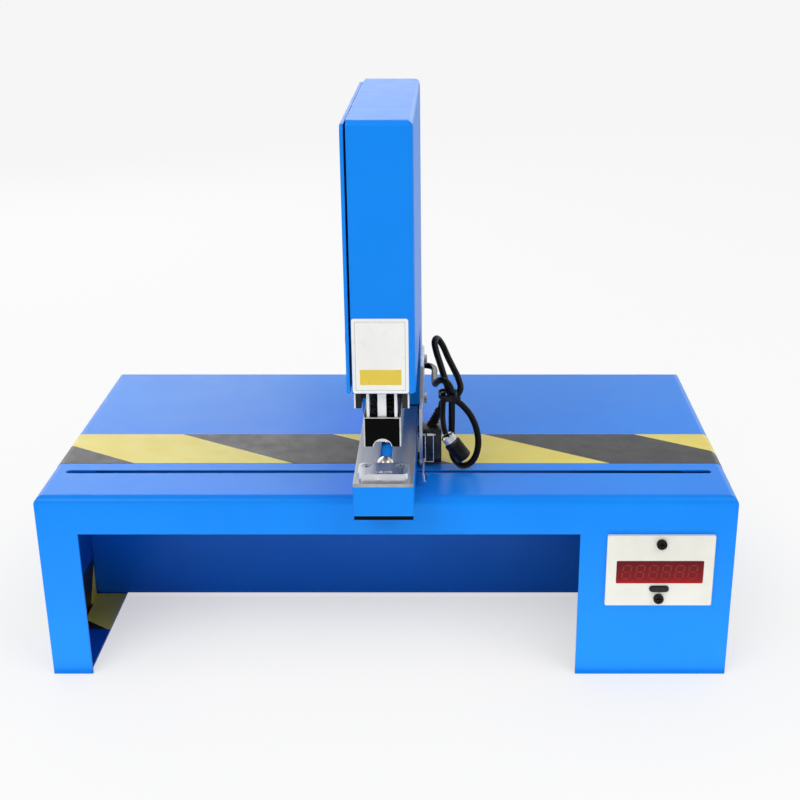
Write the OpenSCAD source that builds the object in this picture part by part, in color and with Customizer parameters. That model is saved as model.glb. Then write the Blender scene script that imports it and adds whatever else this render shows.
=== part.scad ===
// Pneumatic stapling machine: a bench, a lower arm with an anvil, and a tower with an air-driven head.

/* [Bench] */
// Width of the bench, left to right
bench_w = 520; // [480:1:600]
// Depth of the bench, front to back
bench_d = 273; // [250:1:320]
// Height of the bench top
bench_h = 150.5; // [140:0.5:190]
// Thickness of the bench sheet
sheet_t = 2; // [1.5:0.1:2.5]
// Outer radius of the bench bends
bend_r = 6; // [4:0.5:9]
// Width of the left leg's front
leg_left_w = 30; // [30:1:40]
// Width of the right leg's front
leg_right_w = 116; // [110:1:140]
// Height of the front rail
rail_h = 30; // [24:1:36]
// Width of the bottom flanges
flange_w = 28; // [24:1:30]
// Width of the long slot in the top
slot_w = 6; // [4.5:0.5:8]
// Distance from the slot's end to the bench's side
slot_end = 12; // [10:1:30]
// Distance from the bench's front to the slot's middle
slot_back = 47; // [44:1:54]
// Width of the hazard tape
tape_w = 59; // [48:1:59]
// Distance from the bench's front to the tape
tape_back = 63; // [60:1:63]
// Thickness of the inner and rear panels
panel_t = 1.5; // [1:0.1:2]

/* [Counter] */
// Width of the counter's bezel
counter_w = 80.5; // [76:0.5:86]
// Height of the counter's bezel
counter_h = 58.8; // [56:0.2:64]
// Thickness of the bezel
counter_t = 2.2; // [2:0.1:3]
// Gap from the bezel to the bench's right side
counter_side = 15.3; // [12:0.1:18]
// Depth of the counter's body behind the panel
counter_depth = 70; // [50:1:80]
// Travel of the reset button
button_travel = 1.2; // [0.8:0.1:1.4]

/* [Tower] */
// Width of the tower over its side plate
tower_w = 47; // [47:0.5:56]
// Depth of the tower
tower_d = 216; // [210:1:230]
// How far the tower reaches in front of the bench
tower_over = 38; // [34:1:42]
// Height of the tower above the bench top
tower_h = 280; // [265:1:320]
// Height of the cover's lower edge above the bench top
throat_h = 96; // [92:1:100]
// Depth of the throat from the tower's front
throat_d = 154; // [150:1:158]
// Thickness of the cover's sheet
cover_t = 1.5; // [1.2:0.1:2]
// Outer radius of the cover's bends
cover_r = 4.5; // [3:0.5:6]
// Thickness of the left side plate
side_t = 2.4; // [2:0.1:3]
// Dark seam between the cover and the side plate
seam = 1.5; // [1:0.1:1.8]

/* [Arm] */
// Width of the lower arm
arm_w = 42.6; // [41.6:0.1:44]
// Height of the lower arm
arm_h = 22.5; // [21:0.5:25]
// Thickness of the pad under the arm
pad_t = 3; // [2:0.5:4]
// Thickness of the steel plate on the arm
plate_t = 2.6; // [2:0.1:3]
// Width of the anvil
anvil_w = 36; // [33:0.5:39]
// Depth of the anvil
anvil_d = 20.5; // [18:0.5:24]
// Height of the anvil
anvil_h = 6.1; // [5:0.1:7]
// Width of the slot in the steel plate
plate_slot = 9; // [8:0.5:10]

/* [Head] */
// Width of the nose block
nose_w = 23.8; // [23:0.1:24.2]
// Height of the nose block
nose_h = 21.6; // [20:0.1:23]
// Opening between the anvil and the nose at rest
head_gap = 21; // [20:0.5:23]
// Travel of the head
head_travel = 19.5; // [15:0.5:19.5]
// Travel of the driver inside the head
drive_travel = 9; // [7:0.5:10]
// Travel of the staple pusher
push_travel = 26; // [15:1:26]
// Length of the staple strip
strip_l = 50; // [30:1:50]

/* [Air cylinder] */
// Bore of the cylinder
bore_d = 32; // [28:0.5:33]
// Wall of the barrel
barrel_t = 2; // [1.5:0.1:2.5]
// Diameter of the piston rod
rod_d = 12; // [10:0.5:12]
// Diameter of the air tubes
tube_d = 6; // [5:0.5:6]

/* [Trigger] */
// Thickness of the switch body
switch_t = 10.3; // [9:0.1:11]
// Height of the switch body
switch_h = 27.8; // [26:0.1:29]
// Depth of the switch body
switch_d = 15.9; // [15:0.1:17]
// Diameter of the cable
cable_d = 5; // [4:0.1:5.2]

/* [Hidden] */
$fn = 48;
clear = 0.3;
run = 0.05;
tape_t = 0.2;
label_t = 0.4;
label_h = 53;
yf = -(bench_d + tower_over + label_t) / 2 + tower_over + label_t;
yb = yf + bench_d;
yt = yf - tower_over;
ytb = yt + tower_d;
zt = bench_h;
hw = bench_w / 2;
open_z = bench_h - rail_h;
ymid = yf + tape_back + tape_w + 1;
yrear = yb - 22;
lip_w = 14;
lip_x = hw - sheet_t - lip_w;
hole_x = hw - flange_w / 2 - 1;
hole_y0 = yf + 30;
hole_y1 = yb - 30;

cx = hw - counter_side - counter_w / 2;
cz1 = open_z;
cz = cz1 - counter_h / 2;
body_w = counter_w - 13.5;
body_h = counter_h - 18.8;
win_w = counter_w - 15;
win_h = 19;
win_z = cz1 - 30.5;
but_w = 14.4;
but_h = 4.4;
but_z = cz1 - 44.4;
screw_z = [cz1 - 6.8, cz1 - counter_h + 6.2];

ya = yt + 1;
z0 = zt + pad_t;
z1 = z0 + arm_h;
z2 = z1 + plate_t;
z3 = z2 + anvil_h;
ycol = yt + throat_d;
zc = zt + throat_h;
ztop = zt + tower_h;
xl = -tower_w / 2;
xr = tower_w / 2;
xs = xl + side_t + seam;

ys = ya + 7;
yn0 = ys - 4;
nose_t = 9;
yn1 = yn0 + nose_t;
zn0 = z3 + head_gap;
zn1 = zn0 + nose_h;
mag_t = 1.1;
mag_w = nose_w + 2 * mag_t;
ym1 = yn0 + throat_d - 50;
fin = mag_w / 2 + 1;
fout = arm_w / 2 - sheet_t - clear;
zp0 = max(zn1 + 7, zc - 13);
zp1 = zp0 + 60;
yp1 = ytb - 4;

ycyl = ys + 22;
bridge_t = 12;
zb1 = zp1 + bridge_t;
cap_w = bore_d + 6;
cap_h = 14;
zbar0 = zb1 + cap_h;
zbar1 = ztop - cover_t - 12.5 - cap_h;
piston_t = 12;
zpi0 = zbar1 - 2 - piston_t;
zr1 = zp1 - 7.5;
zr0 = zr1 - 34;
ram_w = 16.4;
tube_x = 8;
valve_r = 9;
ytube = max(ymid + panel_t + 2 + valve_r + clear, min(ycol + 32, ytb - 21.5));
zvalve = zt - 36;
rocker_tilt = 9;

arch_h = 5.4;
arch_r = 6.4;
staple_w = 12.8;
rail_w = 11.2;
rail_z = zn0 + 11.3;
ystrip = ys + 0.9;
ypush = ystrip + strip_l + clear;
push_l = 12;

br0 = xr;
br1 = xr + 2.5;
sw_x = br1 + switch_t / 2;
sw_y = yf + 66;
sw_z = zt + 2.6;
piv_y = sw_y - switch_d / 2 - 1.9;
piv_z = sw_z + switch_h - 3.4;

spacers = [[60, 43], [118, 43], [ytb - yf - 11, 48], [ytb - yf - 11, -16]];
spacer_d = 11;
standoffs = [[-10, 43], [95, 43], [ytb - yf - 12, 20], [ycol - yf + 14, zt + 32 - zp0]];
rods = [[100, -34], [ytb - yf - 13, -34]];
bolts = [20, ytb - yf - 11];
grom_a = ytb - yf - 16;
bra = ycol - yf;
bracket_end = grom_a - 8;
bracket_screws = [[bra + 12, 30], [bracket_end - 10, 58]];

grom_h = 46;
boot_tilt = 26;
boot_l = 14;
boot_a = 69;
boot_z = switch_h + 2.6;
cable_pts = [
  [xr - 1, grom_a, grom_h], [xr + 4.5, grom_a, grom_h], [xr + 8.8, grom_a - 4, 46.2], [34.2, grom_a - 13.4, 47.2],
  [34.4, 130, 50], [34.6, 108, 53.4], [35.2, 89, 57], [36, 75.6, 61.4], [37.2, 66.6, 66.4],
  [40.4, 60.4, 70], [44.8, 57.4, 69.2], [47.9, 57.2, 63.8], [48.4, 57.8, 55.4], [48.4, 58.4, 47],
  [48.4, 58.6, 37.4], [48.2, 58.2, 27], [48, 56.8, 16.4], [50.2, 54.4, 7.8], [56.2, 51.8, 3.2],
  [62.8, 52.2, 5.2], [67, 54, 11], [68.8, 56.8, 19.6], [67.4, 60.6, 30], [62.8, 64.2, 40],
  [56, 65.8, 48], [49.8, 65.4, 53], [46.4, 65.4, 58.4], [44.4, 67.4, 64.4], [42, 70.8, 71],
  [39.2, 75, 79], [36.5, 79, 86.6], [35.2, 83.6, 92.8], [37.2, 90, 93.6], [41.2, 93.4, 87],
  [45.6, 90.8, 77.6], [49.8, 86, 70.4], [53.6, 80.6, 63.8], [55.2, 76.4, 58], [52.6, 73.6, 53.2],
  [48, 72.4, 51.4], [44.2, 71.2, 50.8], [41, 69.8, 48.4],
  [sw_x + (boot_l + 2.2)*sin(boot_tilt), boot_a, boot_z + (boot_l + 2.2)*cos(boot_tilt)],
  [sw_x + boot_l*sin(boot_tilt), boot_a, boot_z + boot_l*cos(boot_tilt)]
];
lead_pts = [
  [41.8, 58.4, 61], [41.8, 58.4, 57.8], [41.8, 57.6, 53], [41.6, 55.4, 47], [41.6, 52.4, 41.2],
  [42.4, 49.6, 35.8], [43.8, 48, 30.8]
];
plug_p = [43.8, 48, 30.7];
plug_dir = [0.58, 0, -0.815];

function cross3(a, b) = [a[1]*b[2]-a[2]*b[1], a[2]*b[0]-a[0]*b[2], a[0]*b[1]-a[1]*b[0]];
function unit(v) = v / norm(v);
function crv(p, i, t) = let (n = len(p) - 1, a = p[max(i-1,0)], b = p[i], c = p[min(i+1,n)], d = p[min(i+2,n)])
  0.5 * (2*b + (c - a)*t + (2*a - 5*b + 4*c - d)*t*t + (3*b - a - 3*c + d)*t*t*t);
function fine(p, k) = [for (i = [0:len(p)-2]) for (j = [0:k-1]) crv(p, i, j/k), p[len(p)-1]];
function world(p) = [for (q = p) [q[0], q[1] + yf, q[2] + zt]];
function tang(p, i) = unit(p[min(i+1,len(p)-1)] - p[max(i-1,0)]);
function move_normal(nv, t) = unit(nv - (nv * t) * t);
function normals(p, i, nv) = i >= len(p) ? [] :
  let (m = move_normal(nv, tang(p, i))) concat([m], normals(p, i + 1, m));
function self_gap(p, d, skip) = min([for (i = [0:len(p)-1-skip]) for (j = [i+skip:len(p)-1]) norm(p[i]-p[j])]) - d;
function pair_gap(p, q, d) = min([for (a = p) for (b = q) norm(a-b)]) - d;

module tube(p, d, sides) {
  seed = abs(tang(p, 0)[2]) < 0.9 ? [0, 0, 1] : [0, 1, 0];
  nv = normals(p, 0, seed);
  n = len(p);
  pts = [for (i = [0:n-1]) let (t = tang(p, i), u = nv[i], v = cross3(t, u))
    for (k = [0:sides-1]) p[i] + d/2 * (cos(360*k/sides)*u + sin(360*k/sides)*v)];
  walls = [for (i = [0:n-2]) for (k = [0:sides-1])
    [i*sides+k, (i+1)*sides+k, (i+1)*sides+(k+1)%sides, i*sides+(k+1)%sides]];
  first = [for (k = [0:sides-1]) k];
  last = [for (k = [sides-1:-1:0]) (n-1)*sides+k];
  polyhedron(concat(pts), concat(walls, [first, last]), convexity = 8);
}

function helix(r, len, turns, per) = [for (i = [0:turns*per])
  [r*cos(360*i/per), r*sin(360*i/per), len*i/(turns*per)]];

module spring(od, wire, len, turns) {
  translate([0, 0, wire/2]) tube(helix((od-wire)/2, len - wire, turns, 16), wire, 6);
}

module box(x0, x1, y0, y1, a0, a1) {
  translate([x0, y0, a0]) cube([x1-x0, y1-y0, a1-a0]);
}
module along_y(y0, y1) {
  translate([0, y1, 0]) rotate([90, 0, 0]) linear_extrude(y1-y0) children();
}
module along_x(x0, x1) {
  translate([x0, 0, 0]) rotate([90, 0, 90]) linear_extrude(x1-x0) children();
}
module along_z(a0, a1) {
  translate([0, 0, a0]) linear_extrude(a1-a0) children();
}
module rod_x(x0, x1, y, z, d) {
  translate([x0, y, z]) rotate([0, 90, 0]) cylinder(d=d, h=x1-x0);
}
module rod_y(y0, y1, x, z, d) {
  translate([x, y1, z]) rotate([90, 0, 0]) cylinder(d=d, h=y1-y0);
}
module rod_z(a0, a1, x, y, d) {
  translate([x, y, a0]) cylinder(d=d, h=a1-a0);
}
module tunnel2d(u0, u1, h, r) {
  translate([u0, 0]) square([u1-u0, h-r]);
  translate([u0+r, 0]) square([u1-u0-2*r, h]);
  translate([u0+r, h-r]) circle(r);
  translate([u1-r, h-r]) circle(r);
}
module rrect2d(u0, u1, v0, v1, r) {
  translate([u0+r, v0]) square([u1-u0-2*r, v1-v0]);
  translate([u0, v0+r]) square([u1-u0, v1-v0-2*r]);
  for (u = [u0+r, u1-r]) for (v = [v0+r, v1-r]) translate([u, v]) circle(r);
}
module dome(d, h) {
  r = (d*d/4 + h*h) / (2*h);
  intersection() {
    translate([0, 0, h-r]) sphere(r);
    cylinder(d=d, h=h);
  }
}
module pan_z(d, h, shank, l) {
  difference() {
    union() {
      cylinder(d=d, h=h);
      translate([0, 0, -l]) cylinder(d=shank, h=l+0.2);
    }
    translate([0, 0, h-1.2]) cube([d*0.62, 1, 3], center=true);
    translate([0, 0, h-1.2]) cube([1, d*0.62, 3], center=true);
  }
}

module bench_shell() color([0.06, 0.42, 0.93]) {
  difference() {
    intersection() {
      along_y(yf, yb) tunnel2d(-hw, hw, bench_h, bend_r);
      along_x(-hw, hw) tunnel2d(yf, yb, bench_h, bend_r);
    }
    intersection() {
      along_y(yf+sheet_t, yb-sheet_t) translate([0, -1])
        tunnel2d(-hw+sheet_t, hw-sheet_t, bench_h-sheet_t+1, bend_r-sheet_t);
      along_x(-hw, hw) translate([0, -1])
        tunnel2d(yf+sheet_t, yb-sheet_t, bench_h-sheet_t+1, bend_r-sheet_t);
    }
    box(-hw+leg_left_w, hw-leg_right_w, yf-1, yf+sheet_t+1, -1, open_z);
    box(-hw+20, hw-20, yb-sheet_t-1, yb+1, -1, open_z);
    along_z(zt-sheet_t-1, zt+1)
      rrect2d(-hw+slot_end, hw-slot_end, yf+slot_back-slot_w/2, yf+slot_back+slot_w/2, slot_w/2-0.01);
    along_z(zt-sheet_t-1, zt+1)
      rrect2d(-tube_x-tube_d, tube_x+tube_d, ytube-tube_d/2-2, ytube+tube_d/2+2, tube_d/2+1.9);
    for (a = bolts) rod_z(zt-sheet_t-1, zt+1, 0, yf+a, 8.6);
    box(cx-body_w/2-0.5, cx+body_w/2+0.5, yf-1, yf+sheet_t+1, cz-body_h/2-0.5, cz+body_h/2+0.5);
    for (z = screw_z) rod_y(yf-1, yf+sheet_t+1, cx, z, 3.8);
  }
  for (s = [-1, 1]) difference() {
    union() {
      box(s < 0 ? -hw+1 : hw-flange_w, s < 0 ? -hw+flange_w : hw-1, yf+1, yb-1, 0, sheet_t);
      box(s < 0 ? -hw+1 : lip_x, s < 0 ? -lip_x : hw-1, yrear-sheet_t, yrear, sheet_t-0.5, zt-bend_r);
    }
    for (y = [hole_y0, hole_y1]) rod_z(-1, sheet_t+1, s*hole_x, y, 6.6);
    for (z = [30, zt-28]) rod_y(yrear-sheet_t-1, yrear+1, s*(lip_x+lip_w/2-1), z, 4.2);
  }
}

module mid_panel() color([0.05, 0.3, 0.7]) {
  along_y(ymid, ymid+panel_t)
    rrect2d(-hw+sheet_t+clear, hw-sheet_t-clear, sheet_t+tape_t+clear, zt-sheet_t-0.1, 4);
}

module rear_cover() color([0.05, 0.38, 0.85]) {
  difference() {
    along_y(yrear, yrear+panel_t)
      rrect2d(-hw+sheet_t+clear, hw-sheet_t-clear, sheet_t+clear, zt-sheet_t-0.1, 3.5);
    for (s = [-1, 1]) for (z = [30, zt-28])
      rod_y(yrear-1, yrear+panel_t+1, s*(lip_x+lip_w/2-1), z, 4.4);
    rod_y(yrear-1, yrear+panel_t+1, 0, zvalve-14, 16.2);
    along_y(yrear-1, yrear+panel_t+1) rrect2d(137, 165.4, zvalve-36, zvalve-8, 2);
    along_y(yrear-1, yrear+panel_t+1) rrect2d(90.6, 112.4, zvalve-34, zvalve-10, 1);
    for (i = [0:7]) along_y(yrear-1, yrear+panel_t+1)
      rrect2d(-180+12*i, -175+12*i, 45, 95, 2.4);
  }
}

module hazard_tape() color([0.95, 0.82, 0.2]) {
  y0 = yf + tape_back;
  y1 = y0 + tape_w;
  difference() {
    along_y(y0, y1) tunnel2d(-hw-tape_t, hw+tape_t, bench_h+tape_t, bend_r+tape_t);
    along_y(y0-1, y1+1) translate([0, -1]) tunnel2d(-hw, hw, bench_h+1, bend_r);
    box(-hw-1, hw+1, y0-1, y1+1, -1, 0.5);
    box(-arm_w/2-clear, arm_w/2+clear, y0-1, y1+1, zt-1, zt+1);
    box(xl-clear, xr+clear, ycol-clear, y1+1, zt-1, zt+1);
  }
  for (s = [-1, 1]) {
    e = hw - sheet_t;
    f = hw - flange_w;
    difference() {
      union() {
        box(s < 0 ? -e : f, s < 0 ? -f : e, y0, y1, sheet_t, sheet_t+tape_t);
        box(s < 0 ? -e : e-tape_t, s < 0 ? -e+tape_t : e, y0, y1, sheet_t, sheet_t+34);
      }
      for (y = [hole_y0, hole_y1]) rod_z(-1, sheet_t+1, s*hole_x, y, 7);
    }
  }
}

module counter_bezel() color([0.93, 0.92, 0.86]) {
  difference() {
    along_y(yf-counter_t, yf) rrect2d(cx-counter_w/2, cx+counter_w/2, cz1-counter_h, cz1, 1.2);
    along_y(yf-counter_t-1, yf+1) rrect2d(cx-win_w/2, cx+win_w/2, win_z-win_h/2, win_z+win_h/2, 1);
    along_y(yf-counter_t-1, yf+1)
      rrect2d(cx-but_w/2-clear, cx+but_w/2+clear, but_z-but_h/2-clear, but_z+but_h/2+clear, but_h/2+clear-0.01);
    for (z = screw_z) rod_y(yf-counter_t-1, yf+1, cx, z, 3.6);
  }
}

module counter_window() color([0.5, 0.02, 0.04]) {
  along_y(yf-counter_t+0.2, yf-0.9) rrect2d(cx-win_w/2, cx+win_w/2, win_z-win_h/2, win_z+win_h/2, 1);
}

module digit(x, z) {
  w = 6;
  h = 11;
  t = 1.1;
  for (k = [0, 1, 2]) box(x-w/2+t, x+w/2-t, yf-0.9, yf-0.6, z-h/2+k*(h-t)/2, z-h/2+k*(h-t)/2+t);
  for (s = [-1, 1]) for (k = [0, 1])
    box(x+s*(w/2-t/2)-t/2, x+s*(w/2-t/2)+t/2, yf-0.9, yf-0.6, z-h/2+t/2+k*(h-t)/2+0.7, z-h/2+t/2+(k+1)*(h-t)/2-0.7);
}

module counter_digits() color([0.8, 0.1, 0.1]) {
  for (i = [0:5]) digit(cx + (i-2.5)*win_w/6.6, win_z);
}

module counter_body() color([0.15, 0.15, 0.16]) {
  difference() {
    union() {
      box(cx-body_w/2, cx+body_w/2, yf, yf+counter_depth, cz-body_h/2, cz+body_h/2);
      along_y(yf-0.6, yf+0.5) rrect2d(cx-win_w/2, cx+win_w/2, win_z-win_h/2, win_z+win_h/2, 1);
    }
    box(cx-but_w/2-clear, cx+but_w/2+clear, yf-1, yf+3.4, but_z-but_h/2-clear, but_z+but_h/2+clear);
  }
}

module reset_button() color([0.06, 0.06, 0.07]) {
  along_y(yf-counter_t-1.6, yf+1.6)
    rrect2d(cx-but_w/2, cx+but_w/2, but_z-but_h/2, but_z+but_h/2, but_h/2-0.01);
}

module counter_screws() color([0.07, 0.07, 0.08]) {
  for (z = screw_z) translate([cx, yf-counter_t, z]) rotate([90, 0, 0]) pan_z(7.7, 2.4, 3.4, 7);
}

module lower_arm() color([0.06, 0.42, 0.93]) {
  difference() {
    box(-arm_w/2, arm_w/2, ya, ycol, z0, z1);
    box(-arm_w/2+sheet_t, arm_w/2-sheet_t, ya+sheet_t, ycol+1, z0-1, z1-sheet_t);
    for (y = [yf+2, yf+44]) rod_z(z1-sheet_t-1, z1+1, 0, y, 6.2);
    for (s = [-1, 1]) rod_z(z1-sheet_t-1, z1+1, s*anvil_w/3, ya+3+anvil_d*0.7, 4.2);
  }
}

module arm_pad() color([0.05, 0.05, 0.06]) {
  difference() {
    box(-arm_w/2+0.3, arm_w/2-0.3, ya+0.2, ycol, zt, z0);
    rod_z(zt-1, z0+1, 0, yf+bolts[0], 8.6);
  }
}

module anvil_plate() color([0.66, 0.68, 0.7]) {
  difference() {
    box(-arm_w/2, arm_w/2, ya, ycol-1, z1, z2);
    along_z(z1-1, z2+1) rrect2d(-plate_slot/2, plate_slot/2, yf-2.5, yf+50, plate_slot/2-0.01);
    for (s = [-1, 1]) rod_z(z1-1, z2+1, s*anvil_w/3, ya+3+anvil_d*0.7, 4.2);
  }
}

module anvil() color([0.72, 0.74, 0.77]) {
  difference() {
    along_z(z2, z3) rrect2d(-anvil_w/2, anvil_w/2, ya+3, ya+3+anvil_d, 4);
    for (s = [-1, 1]) {
      translate([s*3.3, ys+1.1, z3+3.1]) rotate([90, 0, 0]) cylinder(r=4, h=2.2);
      rod_z(z2-1, z3+1, s*anvil_w/3, ya+3+anvil_d*0.7, 4.2);
      rod_z(z3-3.2, z3+1, s*anvil_w/3, ya+3+anvil_d*0.7, 7.4);
    }
  }
}

module anvil_screws() color([0.4, 0.41, 0.43]) {
  for (s = [-1, 1]) translate([s*anvil_w/3, ya+3+anvil_d*0.7, z3-3.2]) difference() {
    union() {
      cylinder(d=7, h=2.9);
      translate([0, 0, -anvil_h-plate_t-sheet_t+2]) cylinder(d=4, h=anvil_h+plate_t+sheet_t-1.8);
    }
    translate([0, 0, 1.4]) cylinder(d=3.4, h=3, $fn=6);
  }
}

module plate_screws() color([0.8, 0.74, 0.6]) {
  for (y = [yf+2, yf+44]) translate([0, y, z2]) {
    dome(12, 4);
    translate([0, 0, -12]) cylinder(d=6, h=12.2);
  }
}

module frame_profile() {
  polygon([[ya+4, z0+clear], [ya+4, z1-sheet_t-clear], [ycol+2.5, z1-sheet_t-clear], [ycol+2.5, zp0],
    [yt+4, zp0], [yt+4, zp1], [yp1, zp1], [yp1, zt], [ycol+2.5, zt], [ycol+2.5, z0+clear]]);
}

module frame_plate(s) {
  difference() {
    union() {
      along_x(s < 0 ? -fout : fin, s < 0 ? -fin : fout) frame_profile();
      for (y = [ycyl-9.6, ycyl+8.4])
        box(s < 0 ? -fin-0.1 : fin-2.5, s < 0 ? -fin+2.5 : fin+0.1, y, y+3.2, zp0+1, zp1-1);
    }
    for (p = spacers) rod_x(-fout-1, fout+1, yf+p[0], zp0+p[1], 6.2);
  }
}

module frame_plate_left() color([0.62, 0.64, 0.66]) {
  frame_plate(-1);
}

module frame_plate_right() color([0.62, 0.64, 0.66]) {
  frame_plate(1);
}

module frame_spacers() color([0.5, 0.51, 0.53]) {
  for (p = spacers) difference() {
    rod_x(-fin, fin, yf+p[0], zp0+p[1], spacer_d);
    rod_x(-fin-1, fin+1, yf+p[0], zp0+p[1], 6.2);
  }
  for (a = bolts) difference() {
    box(-fin+0.1, fin-0.1, yf+a-6, yf+a+6, a < 50 ? z0 : zt, a < 50 ? z1-sheet_t-clear-0.4 : zt+16);
    rod_z(zt-1, zt+30, 0, yf+a, 8.2);
  }
}

module frame_screws() color([0.3, 0.3, 0.32]) {
  for (p = spacers) for (s = [-1, 1]) translate([s*fout, yf+p[0], zp0+p[1]]) rotate([0, 90*s, 0]) {
    cylinder(d=10, h=2);
    translate([0, 0, -12]) cylinder(d=6, h=12.2);
  }
}

module base_bolts() color([0.7, 0.71, 0.73]) {
  for (a = bolts) translate([0, yf+a, zt-sheet_t]) {
    translate([0, 0, -5.3]) cylinder(d=15, h=5.3, $fn=6);
    translate([0, 0, -0.1]) cylinder(d=8, h=14);
  }
}

module cylinder_bridge() color([0.55, 0.57, 0.6]) {
  difference() {
    box(-fout, fout, ycyl-24, ycyl+30, zp1, zb1);
    rod_z(zp1-1, zb1+1, 0, ycyl, 24);
  }
}

module tower_plan(x0, inset, r) {
  translate([x0, yt+inset]) square([xr-inset-r-x0, tower_d-2*inset]);
  translate([xr-inset-r-0.1, yt+inset+r]) square([r+0.1, tower_d-2*inset-2*r]);
  for (y = [yt+inset+r, ytb-inset-r]) translate([xr-inset-r, y]) circle(r);
}

module tower_front(x0, z, inset, r) {
  translate([x0, z]) square([xr-inset-r-x0, ztop-inset-z]);
  translate([xr-inset-r-0.1, z]) square([r+0.1, ztop-inset-r-z]);
  translate([xr-inset-r, ztop-inset-r]) circle(r);
}

module tower_side(z, zcol, inset, r) {
  translate([0, z]) tunnel2d(yt+inset, ytb-inset, ztop-inset-z, r);
  translate([ycol+inset, zcol]) square([ytb-ycol-2*inset, z-zcol+1]);
}

module tower_shell() color([0.06, 0.42, 0.93]) {
  difference() {
    intersection() {
      along_x(xs, xr) tower_side(zc, zt, 0, cover_r);
      along_z(zt, ztop) tower_plan(xs, 0, cover_r);
      along_y(yt, ytb) tower_front(xs, zt, 0, cover_r);
    }
    intersection() {
      along_x(xs-1, xr) tower_side(zc-1, zt-1, cover_t, cover_r-cover_t);
      along_z(zt-1, ztop) tower_plan(xs-1, cover_t, cover_r-cover_t);
      along_y(yt, ytb) tower_front(xs-1, zt-1, cover_t, cover_r-cover_t);
    }
    box(xs-1, xr-cover_t, ycol-1, ycol+cover_t+1, zt-1, z2+0.5);
    box(xs-1, xr-cover_t, ycol-1, ycol+cover_t+1, zp0-clear, zc+1);
    rod_x(xr-cover_t-1, xr+1, yf+grom_a, zt+grom_h, 8.2);
    for (p = bracket_screws) rod_x(xr-cover_t-1, xr+1, yf+p[0], zt+p[1], 4.4);
  }
}

module tower_side_plate() color([0.06, 0.42, 0.93]) {
  difference() {
    along_x(xl, xl+side_t) difference() {
      union() {
        translate([0, zc]) tunnel2d(yt+0.3, ytb-0.3, ztop-2.5-zc, cover_r);
        translate([ycol, zt]) square([ytb-0.3-ycol, zc-zt+1]);
      }
    }
    for (p = standoffs) rod_x(xl-1, xl+side_t+1, yf+p[0], zp0+p[1], 4.4);
    for (p = rods) rod_x(xl-1, xl+side_t+1, yf+p[0], ztop+p[1], 4.4);
  }
}

module side_standoffs() color([0.7, 0.71, 0.73]) {
  for (p = standoffs) difference() {
    rod_x(xl+side_t, -fout, yf+p[0], zp0+p[1], 9);
    rod_x(xl+side_t-1, -fout+1, yf+p[0], zp0+p[1], 4.4);
  }
  for (p = rods) difference() {
    rod_x(xl+side_t, xr-cover_t, yf+p[0], ztop+p[1], 8);
    rod_x(xl+side_t-1, xl+side_t+10, yf+p[0], ztop+p[1], 4.4);
  }
}

module cover_screws() color([0.72, 0.73, 0.75]) {
  for (p = standoffs) translate([xl, yf+p[0], zp0+p[1]]) rotate([0, -90, 0]) pan_z(8, 2.2, 4, side_t-xl-side_t-fout-0.2);
  for (p = rods) translate([xl, yf+p[0], ztop+p[1]]) rotate([0, -90, 0]) pan_z(8, 2.2, 4, 8);
  for (p = bracket_screws) translate([br1, yf+p[0], zt+p[1]]) rotate([0, 90, 0]) pan_z(8, 2.2, 4, 6);
  for (s = [-1, 1]) for (z = [30, zt-28])
    translate([s*(lip_x+lip_w/2-1), yrear+panel_t, z]) rotate([-90, 0, 0]) pan_z(8, 2.2, 4, 9);
}

module label_plate() color([0.95, 0.95, 0.94]) {
  along_y(yt-label_t, yt) rrect2d(xs+0.4, xr-cover_r, zc+0.4, zc+0.4+label_h, 1);
}

module cylinder_barrel() color([0.75, 0.77, 0.8]) {
  difference() {
    rod_z(zbar0, zbar1, 0, ycyl, bore_d+2*barrel_t);
    rod_z(zbar0-1, zbar1+1, 0, ycyl, bore_d);
  }
}

module cylinder_caps() color([0.2, 0.2, 0.22]) {
  difference() {
    union() {
      along_z(zb1, zbar0) rrect2d(-cap_w/2, cap_w/2, ycyl-cap_w/2, ycyl+cap_w/2, 6);
      rod_z(zp1+1, zb1+0.5, 0, ycyl, 23.6);
    }
    rod_z(zp1-1, zbar0+1, 0, ycyl, rod_d+2*run);
    translate([tube_x, 0, 0]) rod_y(ycyl+10, ycyl+cap_w/2+1, 0, zb1+cap_h/2, 8.4);
  }
  difference() {
    along_z(zbar1, zbar1+cap_h) rrect2d(-cap_w/2, cap_w/2, ycyl-cap_w/2, ycyl+cap_w/2, 6);
    translate([-tube_x, 0, 0]) rod_y(ycyl+10, ycyl+cap_w/2+1, 0, zbar1+cap_h/2, 8.4);
  }
}

module fitting_y(x, y, z) {
  difference() {
    union() {
      rod_y(y-6, y+0.5, x, z, 8.2);
      translate([x, y+5, z]) rotate([90, 30, 0]) cylinder(d=12, h=5, $fn=6);
      rod_y(y+4.5, y+13, x, z, 10.4);
    }
    rod_y(y+3, y+14, x, z, tube_d+0.2);
  }
}

module fitting_z(x, y, z) {
  difference() {
    union() {
      rod_z(z-6, z+0.5, x, y, 8.2);
      translate([x, y, z]) cylinder(d=12, h=5, $fn=6);
      rod_z(z+4.5, z+13, x, y, 10.4);
    }
    rod_z(z+3, z+14, x, y, tube_d+0.2);
  }
}

module push_fittings() color([0.12, 0.13, 0.15]) {
  fitting_y(-tube_x, ycyl+cap_w/2, zbar1+cap_h/2);
  fitting_y(tube_x, ycyl+cap_w/2, zb1+cap_h/2);
  for (s = [-1, 1]) fitting_z(s*tube_x, ytube, zvalve);
  fitting_y(0, ytube+valve_r, zvalve-14);
}

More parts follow.
